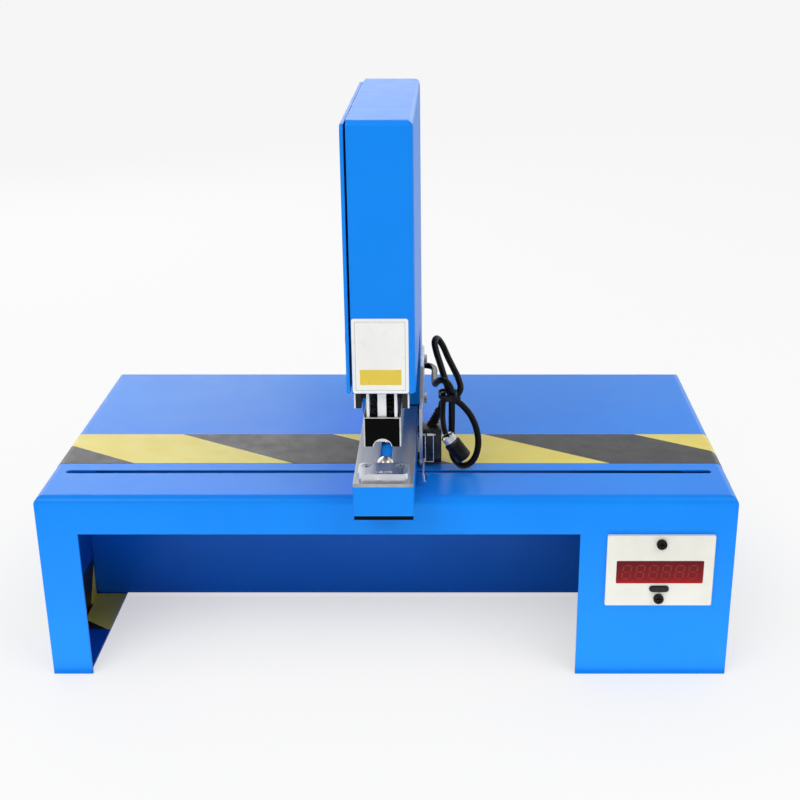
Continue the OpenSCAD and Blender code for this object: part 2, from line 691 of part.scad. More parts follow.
module air_tube(x, z) {
  r = 16;
  rod_y(ycyl+cap_w/2+3.2, ytube-r, x, z, tube_d);
  translate([x, ytube-r, z-r]) rotate([90, 0, 90]) rotate_extrude(angle=90) translate([r, 0]) circle(d=tube_d);
  rod_z(zvalve+3.2, z-r, x, ytube, tube_d);
}

module air_tubes() color([0.1, 0.3, 0.8]) {
  air_tube(-tube_x, zbar1+cap_h/2);
  air_tube(tube_x, zb1+cap_h/2);
  rod_y(ytube+valve_r+3.2, yrear-7.5, 0, zvalve-14, tube_d);
}

module piston_rod() color([0.82, 0.84, 0.86]) {
  rod_z(zpi0, zpi0+piston_t, 0, ycyl, bore_d-2*run);
  rod_z(zr1, zpi0+0.5, 0, ycyl, rod_d);
  translate([0, ycyl, zr1]) cylinder(d=20, h=5.8, $fn=6);
}

module ram_block() color([0.45, 0.46, 0.48]) {
  box(-ram_w/2, ram_w/2, ys-3, ycyl+11, zr0, zr1);
  box(-fin+clear, fin-clear, ycyl-6, ycyl+8, zr0, zr1);
}

module driver() color([0.85, 0.86, 0.88]) {
  box(-3, 3, ys-2.2, ys+2.2, zn1-0.6, zr0);
  box(-staple_w/2+0.1, staple_w/2-0.1, ys-0.45, ys+0.45, rail_z+1.2, zn1-0.4);
}

module nose_block() color([0.05, 0.05, 0.06]) {
  difference() {
    along_z(zn0, zn1) translate([-nose_w/2, yn0]) square([nose_w, nose_t]);
    box(-staple_w/2-clear, staple_w/2+clear, ys-0.75, ys+0.75, zn0-1, zn1+1);
    box(-3-clear-0.1, 3+clear+0.1, ys-2.6, ys+2.6, zn1-1-drive_travel-clear, zn1+1);
    box(-staple_w/2-clear, staple_w/2+clear, ys, yn1+1, zn0+1.2, rail_z+1.1);
    rod_y(yn0-1, ys, 0, zn0+arch_h-arch_r, 2*arch_r);
  }
}

module head_bracket() color([0.8, 0.81, 0.83]) {
  for (s = [-1, 1]) {
    x = ram_w/2 + 0.4;
    box(s < 0 ? -x-2 : x, s < 0 ? -x : x+2, yn0+1, yn0+13, zn1, zr0+18);
  }
}

module magazine() color([0.7, 0.72, 0.74]) {
  difference() {
    box(-mag_w/2, mag_w/2, yn0+0.5, ym1, zn0, zn1);
    box(-nose_w/2, nose_w/2, yn0-1, yn1, zn0-1, zn1+1);
    box(-nose_w/2, nose_w/2, yn1-1, ym1-2, zn0+1.2, zn1+1);
  }
  box(-rail_w/2, rail_w/2, yn1, ym1-2, zn0+1.1, rail_z);
}

module staple_strip() color([0.7, 0.69, 0.64]) {
  difference() {
    box(-staple_w/2, staple_w/2, ystrip, ystrip+strip_l, zn0+4.4, rail_z+0.6);
    box(-staple_w/2+0.6, staple_w/2-0.6, ystrip-1, ystrip+strip_l+1, zn0+4, rail_z);
  }
}

module staple_pusher() color([0.15, 0.15, 0.17]) {
  difference() {
    union() {
      box(-staple_w/2-1, staple_w/2+1, ypush, ypush+push_l, zn0+1.6, zn0+18);
      box(-2.5, 2.5, ypush+3, ypush+8, zn0+17, zn1+4);
    }
    box(-rail_w/2-clear, rail_w/2+clear, ypush-1, ypush+push_l+1, zn0, rail_z+clear);
  }
}

module pusher_spring() color([0.75, 0.76, 0.78]) {
  translate([0, ypush+push_l+clear, rail_z+3.4]) rotate([-90, 0, 0])
    spring(5, 0.6, ym1-2-ypush-push_l-2*clear, 8);
}

module nose_springs() color([0.1, 0.1, 0.11]) {
  for (s = [-1, 1]) translate([s*5.8, ys, zn1+0.05]) spring(4.4, 0.9, zr0-zn1-0.1, 8);
}

module switch_bracket() color([0.8, 0.82, 0.84]) {
  difference() {
    along_x(br0, br1) translate([yf, zt]) polygon([[55, 1.5], [78, 1.5], [90, 22], [bracket_end, 22], [bracket_end, 67],
      [bra-16, 67], [78, 48], [55, 48]]);
    for (z = [2.8, 25]) rod_x(br0-1, br1+1, sw_y, sw_z+z, 3.3);
    for (p = bracket_screws) rod_x(br0-1, br1+1, yf+p[0], zt+p[1], 4.4);
  }
}

module micro_switch() color([0.05, 0.05, 0.055]) {
  difference() {
    union() {
      box(br1, br1+switch_t, sw_y-switch_d/2, sw_y+switch_d/2, sw_z, sw_z+switch_h);
      translate([sw_x, yf+boot_a, zt+boot_z]) rotate([0, boot_tilt, 0]) translate([0, 0, -2.2])
        cylinder(d1=7.8, d2=6.8, h=boot_l+2.2);
      for (s = [-1, 1]) box(sw_x+s*4.4-0.6, sw_x+s*4.4+0.6, piv_y-1.2, sw_y-switch_d/2+0.5, piv_z-1.4, piv_z+2);
    }
    for (z = [2.8, 25]) rod_x(br1-1, br1+switch_t+1, sw_y, sw_z+z, 3.2);
    rod_x(br1-1, br1+switch_t+1, piv_y, piv_z, 1.3);
    rod_y(sw_y-switch_d/2-1, sw_y-switch_d/2+4.6, sw_x, piv_z-11, 3.6);
  }
}

module switch_screws() color([0.1, 0.1, 0.11]) {
  for (z = [2.8, 25]) {
    rod_x(br0-1.3, br1+switch_t+0.1, sw_y, sw_z+z, 3);
    rod_x(br1+switch_t, br1+switch_t+1.8, sw_y, sw_z+z, 5.6);
    translate([br0-1.4, sw_y, sw_z+z]) rotate([0, 90, 0]) cylinder(d=6, h=1.4, $fn=6);
  }
}

module switch_lever() color([0.85, 0.86, 0.88]) {
  rod_x(sw_x-5, sw_x+5, piv_y, piv_z, 1.2);
  rod_x(sw_x-3.4, sw_x+3.4, piv_y, piv_z, 2);
  box(sw_x-3.4, sw_x+3.4, piv_y-1, piv_y-0.5, sw_z+2, piv_z);
  box(br1+0.4, sw_x-3.3, piv_y-1, piv_y-0.5, sw_z+2, sw_z+5);
  box(br1+0.4, br1+1.4, yf+20, piv_y-0.5, sw_z+2, sw_z+5);
  rod_z(sw_z+2, sw_z+6.5, br1+1.9, yf+20, 3);
}

module switch_plunger() color([0.7, 0.08, 0.06]) {
  rod_y(piv_y-0.2, sw_y-switch_d/2+3, sw_x, piv_z-11, 3);
}

cable_line = world(fine(cable_pts, 2));
lead_line = world(fine(lead_pts, 3));

module sensor_cable() color([0.04, 0.04, 0.045]) {
  tube(cable_line, cable_d, 8);
}

module cable_tie() color([0.06, 0.06, 0.065]) {
  translate([0, yf, zt+57]) linear_extrude(2.8) difference() {
    rrect2d(38.2, 52.4, 53.2, 70, 4.6);
    rrect2d(39.2, 51.4, 54.2, 69, 3.6);
  }
}

module plug_lead() color([0.04, 0.04, 0.045]) {
  tube(lead_line, cable_d-1, 8);
}

module cable_plug() {
  translate([plug_p[0], plug_p[1]+yf, plug_p[2]+zt]) rotate([0, 180-atan2(plug_dir[0], -plug_dir[2]), 0]) {
    color([0.75, 0.76, 0.78]) translate([0, 0, 1]) cylinder(d=10, h=7);
    color([0.04, 0.04, 0.045]) translate([0, 0, 7.9]) cylinder(d=13, h=16);
  }
}

module cable_grommet() color([0.05, 0.05, 0.06]) {
  difference() {
    union() {
      rod_x(xr-cover_t-1.5, xr+2, yf+grom_a, zt+grom_h, 8);
      rod_x(xr, xr+2, yf+grom_a, zt+grom_h, 12);
    }
    rod_x(xr-cover_t-3, xr+3, yf+grom_a, zt+grom_h, cable_d+0.4);
  }
}

module valve_body() color([0.7, 0.72, 0.74]) {
  difference() {
    box(-27, 27, ytube-valve_r, ytube+valve_r, zvalve-28, zvalve);
    for (s = [-1, 1]) rod_z(zvalve-7, zvalve+1, s*tube_x, ytube, 8.4);
    for (x = [-17, 0, 17]) rod_y(ytube+valve_r-7, ytube+valve_r+1, x, zvalve-14, 8.4);
  }
}

module valve_coil() color([0.08, 0.08, 0.09]) {
  box(27, 55, ytube-valve_r, ytube+valve_r, zvalve-28, zvalve-2);
  box(38, 62, ytube-valve_r+2, ytube+valve_r-2, zvalve-2, zvalve+20);
}

module valve_bracket() color([0.6, 0.62, 0.64]) {
  box(-30, 40, ymid+panel_t, ytube+valve_r+3, zvalve-30, zvalve-28);
  box(-30, 40, ymid+panel_t, ymid+panel_t+2, zvalve-28.1, zvalve+10);
}

module silencers() color([0.72, 0.55, 0.25]) {
  for (s = [-1, 1]) {
    rod_y(ytube+valve_r-6, ytube+valve_r+1, s*17, zvalve-14, 8.2);
    rod_y(ytube+valve_r, ytube+valve_r+19, s*17, zvalve-14, 11);
  }
}

module air_inlet() color([0.72, 0.66, 0.5]) {
  difference() {
    union() {
      rod_y(yrear-10, yrear+16, 0, zvalve-14, 15.8);
      translate([0, yrear+panel_t+4, zvalve-14]) rotate([90, 0, 0]) cylinder(d=24, h=4, $fn=6);
      translate([0, yrear, zvalve-14]) rotate([90, 0, 0]) cylinder(d=24, h=4, $fn=6);
    }
    rod_y(yrear, yrear+17, 0, zvalve-14, 8.2);
    rod_y(yrear-11, yrear-3, 0, zvalve-14, tube_d+0.2);
  }
}

module power_supply() color([0.7, 0.71, 0.72]) {
  box(hw-140, hw-55, yf+150, yrear-30, zt-sheet_t-34, zt-sheet_t);
}

module power_inlet() color([0.06, 0.06, 0.07]) {
  z = zvalve - 22;
  difference() {
    union() {
      along_y(yrear+panel_t, yrear+panel_t+2.5) rrect2d(126, 176.4, z-15, z+15, 4);
      along_y(yrear-18, yrear+panel_t+0.5) rrect2d(137.3, 165.1, z-13.7, z+13.7, 2);
    }
    along_y(yrear-13, yrear+5) rrect2d(139.2, 163.2, z-8.4, z+8.4, 3);
  }
  for (x = [145.2, 151.2, 157.2]) box(x-1, x+1, yrear-13.5, yrear-1, z-2.5, z+2.5);
}

module switch_frame() color([0.06, 0.06, 0.07]) {
  z = zvalve - 22;
  difference() {
    union() {
      along_y(yrear+panel_t, yrear+panel_t+2) rrect2d(89, 114, z-15, z+15, 2);
      along_y(yrear-14, yrear+panel_t+0.5) rrect2d(91, 112, z-11.8, z+11.8, 1);
    }
    along_y(yrear-12, yrear+6) translate([93, z-10.6]) square([17, 21.2]);
    rod_x(92, 111, yrear-1, z, 3.1);
  }
}

module power_rocker() color([0.6, 0.05, 0.05]) {
  translate([0, yrear-1, zvalve-22]) rotate([-rocker_tilt, 0, 0]) {
    rod_x(92.2, 110.8, 0, 0, 3);
    along_x(93.4, 109.6) polygon([[-3, -5], [-3, 5], [4, 9], [6.6, 9], [4.8, 0], [6.6, -9], [4, -9]]);
  }
}

echo(cable_gap = self_gap(cable_line, cable_d, 5));
echo(lead_gap = pair_gap(cable_line, lead_line, cable_d - 0.5));

bench_shell();
mid_panel();
rear_cover();
hazard_tape();
counter_bezel();
counter_window();
counter_digits();
counter_body();
reset_button();
counter_screws();
lower_arm();
arm_pad();
anvil_plate();
anvil();
anvil_screws();
plate_screws();
frame_plate_left();
frame_plate_right();
frame_spacers();
frame_screws();
base_bolts();
cylinder_bridge();
tower_shell();
tower_side_plate();
side_standoffs();
cover_screws();
label_plate();
cylinder_barrel();
cylinder_caps();
push_fittings();
air_tubes();
piston_rod();
ram_block();
driver();
nose_block();
head_bracket();
magazine();
staple_strip();
staple_pusher();
pusher_spring();
nose_springs();
switch_bracket();
micro_switch();
switch_screws();
switch_lever();
switch_plunger();
sensor_cable();
cable_tie();
plug_lead();
cable_plug();
cable_grommet();
valve_body();
valve_coil();
valve_bracket();
silencers();
air_inlet();
power_supply();
power_inlet();
switch_frame();
power_rocker();
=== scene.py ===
import math
import bpy
import bmesh
from mathutils import Matrix, Vector


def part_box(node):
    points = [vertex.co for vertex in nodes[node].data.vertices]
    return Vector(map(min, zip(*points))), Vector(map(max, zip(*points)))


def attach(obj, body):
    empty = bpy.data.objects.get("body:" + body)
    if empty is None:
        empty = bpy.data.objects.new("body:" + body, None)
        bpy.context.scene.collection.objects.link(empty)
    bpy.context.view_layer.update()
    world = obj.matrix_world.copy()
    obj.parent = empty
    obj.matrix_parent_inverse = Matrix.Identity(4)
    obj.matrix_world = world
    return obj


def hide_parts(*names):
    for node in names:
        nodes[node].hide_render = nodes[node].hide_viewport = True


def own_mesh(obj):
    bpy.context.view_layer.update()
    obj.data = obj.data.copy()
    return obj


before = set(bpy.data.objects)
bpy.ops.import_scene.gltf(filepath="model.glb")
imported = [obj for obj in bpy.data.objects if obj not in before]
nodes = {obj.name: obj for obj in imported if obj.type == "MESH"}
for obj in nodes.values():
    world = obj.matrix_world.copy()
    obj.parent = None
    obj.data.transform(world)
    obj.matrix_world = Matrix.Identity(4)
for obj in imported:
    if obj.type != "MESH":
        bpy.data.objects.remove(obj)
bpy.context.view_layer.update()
mm = 0.001
near = 1e-6  # metres, closer than which two places are one
print("stage: frame loaded, nodes", len(nodes))

# the bench front and top are the lines that everything else is placed from
benchLow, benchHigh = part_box("bench_shell")
benchFront, benchTop = benchLow.y, benchHigh.z
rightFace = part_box("tower_shell")[1].x
switchX = sum(c.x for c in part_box("micro_switch")) / 2


def atBench(x, back, up):  # mm right of the middle, behind the bench front, above its top
    return Vector((x * mm, benchFront + back * mm, benchTop + up * mm))


# camera, from the photo's vanishing points
cameraValues = {"lens": 58.5, "sensor": 36.0, "shiftX": -0.0605, "pitch": 20.9,
                "right": 45.8, "ahead": 867.0, "up": 408.0, "clip": (0.05, 20)}


def makeCamera(v):
    data = bpy.data.cameras.new("photoCamera")
    data.lens, data.sensor_width, data.shift_x = v["lens"], v["sensor"], v["shiftX"]
    data.clip_start, data.clip_end = v["clip"]
    cam = bpy.data.objects.new("photoCamera", data)
    bpy.context.scene.collection.objects.link(cam)
    cam.location = atBench(v["right"], -v["ahead"], v["up"])
    cam.rotation_euler = (math.radians(90 - v["pitch"]), 0, 0)
    bpy.context.scene.camera = cam


makeCamera(cameraValues)
print("stage: camera placed")


# small helpers shared by every finish
def toLinear(colour):  # a colour as a paint chart gives it, 0 to 255
    parts = [c / 255 for c in colour]
    return (*[p / 12.92 if p <= 0.04045 else ((p + 0.055) / 1.055) ** 2.4 for p in parts], 1.0)


def newMaterial(name, colour, rough, metal=0.0, gloss=0.5):
    mat = bpy.data.materials.new(name)
    mat.use_nodes = True
    shader = mat.node_tree.nodes["Principled BSDF"]
    shader.inputs["Base Color"].default_value = toLinear(colour)
    shader.inputs["Roughness"].default_value = rough
    shader.inputs["Metallic"].default_value = metal
    shader.inputs["Specular IOR Level"].default_value = gloss
    return mat, mat.node_tree, shader


def addNode(tree, kind, **values):
    node = tree.nodes.new(kind)
    for key, value in values.items():
        if key in node.inputs:
            node.inputs[key].default_value = value
        else:
            setattr(node, key, value)
    return node


def objectNoise(tree, scale, detail=2.0, stretch=(1, 1, 1)):
    coord = addNode(tree, "ShaderNodeTexCoord")
    mapping = addNode(tree, "ShaderNodeMapping")
    mapping.inputs["Scale"].default_value = stretch
    noise = addNode(tree, "ShaderNodeTexNoise", Scale=scale, Detail=detail)
    tree.links.new(coord.outputs["Object"], mapping.inputs["Vector"])
    tree.links.new(mapping.outputs["Vector"], noise.inputs["Vector"])
    return noise.outputs["Fac"]


def placeXYZ(tree):  # the three object coordinates, in metres
    coord = addNode(tree, "ShaderNodeTexCoord")
    split = addNode(tree, "ShaderNodeSeparateXYZ")
    tree.links.new(coord.outputs["Object"], split.inputs[0])
    return split.outputs[0], split.outputs[1], split.outputs[2]


def sums(tree, operation, first, second=0.0, third=None):
    node = addNode(tree, "ShaderNodeMath", operation=operation)
    for index, value in enumerate((first, second, third)):
        if value is None:
            continue
        if isinstance(value, (int, float)):
            node.inputs[index].default_value = value
        else:
            tree.links.new(value, node.inputs[index])
    return node.outputs[0]


def spread(tree, value, low, high, fromLow=0.3, fromHigh=0.7):
    span = addNode(tree, "ShaderNodeMapRange")
    for key, number in (("From Min", fromLow), ("From Max", fromHigh), ("To Min", low), ("To Max", high)):
        span.inputs[key].default_value = number
    tree.links.new(value, span.inputs["Value"])
    return span.outputs["Result"]


def blendColours(tree, value, first, second):  # each colour is a chart value or another node's output
    mix = addNode(tree, "ShaderNodeMix", data_type="RGBA")
    tree.links.new(value, mix.inputs[0])
    for socket, colour in ((6, first), (7, second)):  # the mix node's two colour sockets
        if isinstance(colour, tuple):
            mix.inputs[socket].default_value = toLinear(colour)
        else:
            tree.links.new(colour, mix.inputs[socket])
    return mix.outputs[2]


def cloudColour(tree, scale, deep, pale, detail=3):  # two shades drifting into each other
    return blendColours(tree, spread(tree, objectNoise(tree, scale, detail), 0, 1), deep, pale)


def unevenGloss(tree, shader, scale, rough, detail=3, stretch=(1, 1, 1)):
    noise = objectNoise(tree, scale, detail, stretch)
    tree.links.new(spread(tree, noise, *rough), shader.inputs["Roughness"])


def roughSurface(tree, shader, value, strength, depth, edge=0.0):  # depth and edge in mm
    bump = addNode(tree, "ShaderNodeBump", Strength=strength, Distance=depth * mm)
    tree.links.new(value, bump.inputs["Height"])
    if edge:
        bevel = addNode(tree, "ShaderNodeBevel", samples=4, Radius=edge * mm)
        tree.links.new(bevel.outputs["Normal"], bump.inputs["Normal"])
    tree.links.new(bump.outputs["Normal"], shader.inputs["Normal"])


# powder coat: two close blues under a fine orange peel; inside the bench the blue is darkened as painted shade, less
# dark on the legs' inner walls
paintValues = {"blue": ((3, 137, 248), (5, 143, 253)), "shade": ((4, 104, 216), (6, 110, 224)),
               "thin": (2, 44, 108), "legInsideShade": (3, 84, 190), "legWide": 34.0,
               "insideSteps": ((0.5, 12.0), (12.0, 1.2)),  # mm under the top, mm in from the outside
               "coat": 0.06, "coatRough": 0.2, "gloss": 0.15, "rough": (0.33, 0.38),
               "cloudScale": 9, "roughScale": 70, "peelScale": 850, "peel": 0.10, "peelDepth": 0.4, "edge": 1.0}


def insideBench(tree, x, y, z, steps):  # 1 on the faces under the top and behind the front
    halves = []
    for depth, edge in steps:  # near the top the rounded bends are left out
        within = sums(tree, "LESS_THAN", sums(tree, "ABSOLUTE", x), benchHigh.x - edge * mm)
        behind = sums(tree, "GREATER_THAN", y, benchFront + edge * mm)
        below = sums(tree, "LESS_THAN", z, benchTop - depth * mm)
        halves.append(sums(tree, "MULTIPLY", sums(tree, "MULTIPLY", within, behind), below))
    ahead = sums(tree, "LESS_THAN", y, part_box("rear_cover")[0].y)
    return sums(tree, "MULTIPLY", sums(tree, "MAXIMUM", *halves), ahead)


def powderCoat(name, shades, v, bench=False):
    mat, tree, shader = newMaterial(name, shades[1], v["rough"][0], gloss=v["gloss"])
    shader.inputs["Coat Weight"].default_value = v["coat"]
    shader.inputs["Coat Roughness"].default_value = v["coatRough"]
    paint = cloudColour(tree, v["cloudScale"], *shades)
    # inside the bench the "thin" blues are painted shade: darker under the top and behind the front, lighter on the
    # legs' inner walls
    if bench:
        x, y, z = placeXYZ(tree)
        inLeg = sums(tree, "GREATER_THAN", sums(tree, "ABSOLUTE", x), benchHigh.x - v["legWide"] * mm)
        thin = blendColours(tree, inLeg, v["thin"], v["legInsideShade"])
        paint = blendColours(tree, insideBench(tree, x, y, z, v["insideSteps"]), paint, thin)
    tree.links.new(paint, shader.inputs["Base Color"])
    unevenGloss(tree, shader, v["roughScale"], v["rough"])
    roughSurface(tree, shader, objectNoise(tree, v["peelScale"]), v["peel"], v["peelDepth"], v["edge"])
    return mat


# ground and plated metals, with lines along the way they were ground
metalValues = {"lineScale": 60, "roughScale": 140, "roughSpan": (0.75, 1.3), "depth": 0.3, "edge": 0.4}


def groundMetal(name, pale, deep, rough, stretch, grain=0.06, metal=1.0, v=metalValues):
    mat, tree, shader = newMaterial(name, pale, rough, metal)
    lines = objectNoise(tree, v["lineScale"], 4, stretch)
    tree.links.new(blendColours(tree, spread(tree, lines, 0, 1), deep, pale), shader.inputs["Base Color"])
    unevenGloss(tree, shader, v["roughScale"], [rough * share for share in v["roughSpan"]], stretch=stretch)
    roughSurface(tree, shader, lines, grain, v["depth"], v["edge"])
    return mat


# moulded plastics and blackened pieces, and the coarser grain of rubber
plasticValues = {"cloudScale": 45, "roughScale": 160, "roughSpan": (0.85, 1.15), "grainScale": 1400, "grain": 0.08,
                 "depth": 0.3, "edge": 0.4}
rubberValues = {**plasticValues, "grainScale": 700, "grain": 0.14}


def mouldedPlastic(name, deep, pale, rough, gloss=0.5, v=plasticValues):
    mat, tree, shader = newMaterial(name, pale, rough, gloss=gloss)
    tree.links.new(cloudColour(tree, v["cloudScale"], deep, pale), shader.inputs["Base Color"])
    unevenGloss(tree, shader, v["roughScale"], [rough * share for share in v["roughSpan"]], 2)
    roughSurface(tree, shader, objectNoise(tree, v["grainScale"]), v["grain"], v["depth"], v["edge"])
    return mat


def bareHighlightEdged(name, v, fromEdge):  # black, with bare metal nearer to an edge than the rim, its pale colour there a painted highlight
    mat, tree, shader = newMaterial(name, v["pale"], v["rough"][0], gloss=v["gloss"])
    bareHighlight = sums(tree, "LESS_THAN", fromEdge(tree, *placeXYZ(tree)), v["rim"] * mm)
    black = cloudColour(tree, plasticValues["cloudScale"], v["deep"], v["pale"])
    tree.links.new(blendColours(tree, bareHighlight, black, v["bareHighlight"]), shader.inputs["Base Color"])
    tree.links.new(sums(tree, "MULTIPLY", bareHighlight, v["metal"]), shader.inputs["Metallic"])
    unevenGloss(tree, shader, plasticValues["roughScale"], v["rough"], 2)
    grain = objectNoise(tree, plasticValues["grainScale"])
    roughSurface(tree, shader, grain, plasticValues["grain"], plasticValues["depth"], plasticValues["edge"])
    return mat


# helpers shared by every new piece
def looseObject(name, bm):
    data = bpy.data.meshes.new(name)
    bm.to_mesh(data)
    bm.free()
    obj = bpy.data.objects.new(name, data)
    bpy.context.scene.collection.objects.link(obj)
    return obj


def finishPiece(name, bm, mat, body, replaced, smoothAngle=35):
    bmesh.ops.remove_doubles(bm, verts=bm.verts, dist=near)
    bmesh.ops.recalc_face_normals(bm, faces=bm.faces)
    piece = looseObject(name, bm)
    piece.data.shade_smooth()
    piece.data.set_sharp_from_angle(angle=math.radians(smoothAngle))
    piece.data.materials.append(mat)
    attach(piece, body)
    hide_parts(replaced)
    return piece


def addBox(bm, low, high, rounding=0.0, segments=3):  # a box between two corners, its edges rounded, in mm
    low, high = Vector(low), Vector(high)
    made = bmesh.ops.create_cube(bm, size=1.0)["verts"]
    bmesh.ops.scale(bm, vec=high - low, verts=made)
    bmesh.ops.translate(bm, vec=(low + high) / 2, verts=made)
    if rounding:
        edges = list({e for v in made for e in v.link_edges})
        bmesh.ops.bevel(bm, geom=edges, offset=rounding * mm, segments=segments, profile=0.5, affect="EDGES",
                        material=-1)
    return made


def turnProfile(profile, steps=48):  # a lathe piece about Z from (radius, height) points in mm
    bm = bmesh.new()
    line = [bm.verts.new((r * mm, 0, z * mm)) for r, z in profile]
    for a, b in zip(line, line[1:]):
        bm.edges.new((a, b))
    bmesh.ops.spin(bm, geom=bm.verts[:] + bm.edges[:], cent=(0, 0, 0), axis=(0, 0, 1), angle=math.tau,
                   steps=steps, use_merge=True)
    bmesh.ops.remove_doubles(bm, verts=bm.verts, dist=near)
    return bm


bluePaint = powderCoat("bluePowderCoat", paintValues["blue"], paintValues)
benchPaintAndShade = powderCoat("benchPowderCoatShaded", paintValues["blue"], paintValues, bench=True)
# the mid panel's "shade" blues are the bench blues darkened: a painted shade of the same coat
shadePaint = powderCoat("innerPowderCoatShaded", paintValues["shade"], paintValues)
blackOxide = mouldedPlastic("blackOxide", (3, 3, 4), (7, 7, 8), 0.4, 0.16)
blackPlastic = mouldedPlastic("blackPlastic", (6, 6, 7), (11, 11, 12), 0.4, 0.28)
switchPlastic = mouldedPlastic("switchPlastic", (17, 18, 19), (26, 27, 28), 0.38)
blackRubber = mouldedPlastic("blackRubber", (7, 7, 8), (12, 12, 13), 0.5, 0.25, rubberValues)
blackAndShadowPad = mouldedPlastic("blackAndShadowPad", (3, 3, 4), (6, 6, 7), 0.45, 0.05)
creamPlastic = mouldedPlastic("creamPlastic", (226, 224, 213), (234, 232, 221), 0.42)
redPlastic = mouldedPlastic("redPlastic", (150, 12, 12), (168, 20, 18), 0.3)
blueTube = mouldedPlastic("blueTube", (26, 80, 200), (34, 92, 214), 0.28)
platedSteel = groundMetal("platedSteel", (208, 211, 215), (190, 193, 198), 0.3, (1, 1, 1), 0.015)
plateSteel = groundMetal("groundPlate", (236, 238, 242), (204, 207, 213), 0.3, (1, 0.05, 1), 0.035)
armSteel = groundMetal("armPlate", (212, 213, 216), (142, 144, 148), 0.42, (1, 0.04, 1))
stemSatin = groundMetal("satinStem", (250, 251, 252), (234, 236, 239), 0.38, (1, 1, 0.05), 0.03, 0.35)
brightSteel = groundMetal("brightSteel", (232, 234, 237), (206, 209, 214), 0.18, (1, 1, 0.05))
greyAlloy = groundMetal("anodisedAlloy", (196, 200, 206), (180, 184, 190), 0.36, (1, 1, 0.2))
softBrass = groundMetal("softBrass", (206, 182, 120), (176, 150, 92), 0.3, (1, 1, 1))
nickel = groundMetal("nickelDome", (226, 220, 206), (198, 190, 174), 0.2, (1, 1, 1))
print("stage: plain finishes made")

# yellow and black tape: slanted bands on the top, carried round the sides, their own slant inside the legs
tapeValues = {"yellow": (239, 218, 92), "yellowPale": (246, 229, 110), "black": (30, 29, 32), "blackPale": (46, 45, 49),
              "band": 123.6, "start": -172.6, "lean": 1.639, "flangeStart": 74.0, "flangeLean": 0.706,
              "wallStart": 102.0, "wallLean": 1.5, "sideEdge": 4.0, "legEdge": 10.0, "skin": 1.0, "legTall": 50.0,
              "gloss": 0.26, "rough": (0.28, 0.42), "roughScale": 90, "cloudScale": 30,
              "grainScale": 500, "grain": 0.05, "depth": 0.3}


def makeTape(v):
    mat, tree, shader = newMaterial("hazardVinyl", v["yellow"], v["rough"][0], gloss=v["gloss"])
    low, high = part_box("hazard_tape")
    x, y, z = placeXYZ(tree)
    outward = sums(tree, "ABSOLUTE", x)
    onSide = sums(tree, "GREATER_THAN", outward, benchHigh.x - v["sideEdge"] * mm)
    fall = sums(tree, "MAXIMUM", sums(tree, "SUBTRACT", benchTop, z), 0.0)  # how far down the side
    path = sums(tree, "MULTIPLY_ADD", sums(tree, "MULTIPLY", sums(tree, "SIGN", x), fall), onSide, x)
    along = sums(tree, "MULTIPLY_ADD", sums(tree, "SUBTRACT", high.y, y), -v["lean"], path)
    turns = sums(tree, "DIVIDE", sums(tree, "SUBTRACT", along, v["start"] * mm), 2 * v["band"] * mm)
    outerBlack = sums(tree, "LESS_THAN", sums(tree, "FRACT", turns), 0.5)
    reach = sums(tree, "SUBTRACT", benchHigh.x - v["legEdge"] * mm, outward)
    behind = sums(tree, "SUBTRACT", y, benchFront + v["flangeStart"] * mm)
    flangeBlack = sums(tree, "LESS_THAN", sums(tree, "MULTIPLY_ADD", reach, v["flangeLean"], behind), 0.0)
    further = sums(tree, "SUBTRACT", y, benchFront + v["wallStart"] * mm)
    wallBlack = sums(tree, "GREATER_THAN", z, sums(tree, "MULTIPLY_ADD", further, v["wallLean"], low.z))
    change = sums(tree, "SUBTRACT", wallBlack, flangeBlack)
    innerBlack = sums(tree, "MULTIPLY_ADD", change, onSide, flangeBlack)
    lowDown = sums(tree, "LESS_THAN", z, low.z + v["legTall"] * mm)
    inLeg = sums(tree, "MULTIPLY", lowDown, sums(tree, "LESS_THAN", outward, benchHigh.x - v["skin"] * mm))
    black = sums(tree, "MULTIPLY_ADD", sums(tree, "SUBTRACT", innerBlack, outerBlack), inLeg, outerBlack)
    cloud = spread(tree, objectNoise(tree, v["cloudScale"], 4), 0, 1)
    yellowMix = blendColours(tree, cloud, v["yellow"], v["yellowPale"])
    blackMix = blendColours(tree, cloud, v["black"], v["blackPale"])
    tree.links.new(blendColours(tree, black, yellowMix, blackMix), shader.inputs["Base Color"])
    unevenGloss(tree, shader, v["roughScale"], v["rough"])
    roughSurface(tree, shader, objectNoise(tree, v["grainScale"]), v["grain"], v["depth"])
    return mat


hazardVinyl = makeTape(tapeValues)

# a switch lever with a black face, bare metal edges painted pale as a highlight, and a bright feeler reaching forward
leverValues = {"face": (12, 12, 13), "bareHighlight": (228, 230, 233), "metal": 0.5, "half": 3.4, "pinHalf": 5.0,
               "pinRadius": 1.0, "rim": 0.6, "rough": (0.2, 0.42), "roughScale": 300,
               "grainScale": 900, "grain": 0.06, "depth": 0.2}


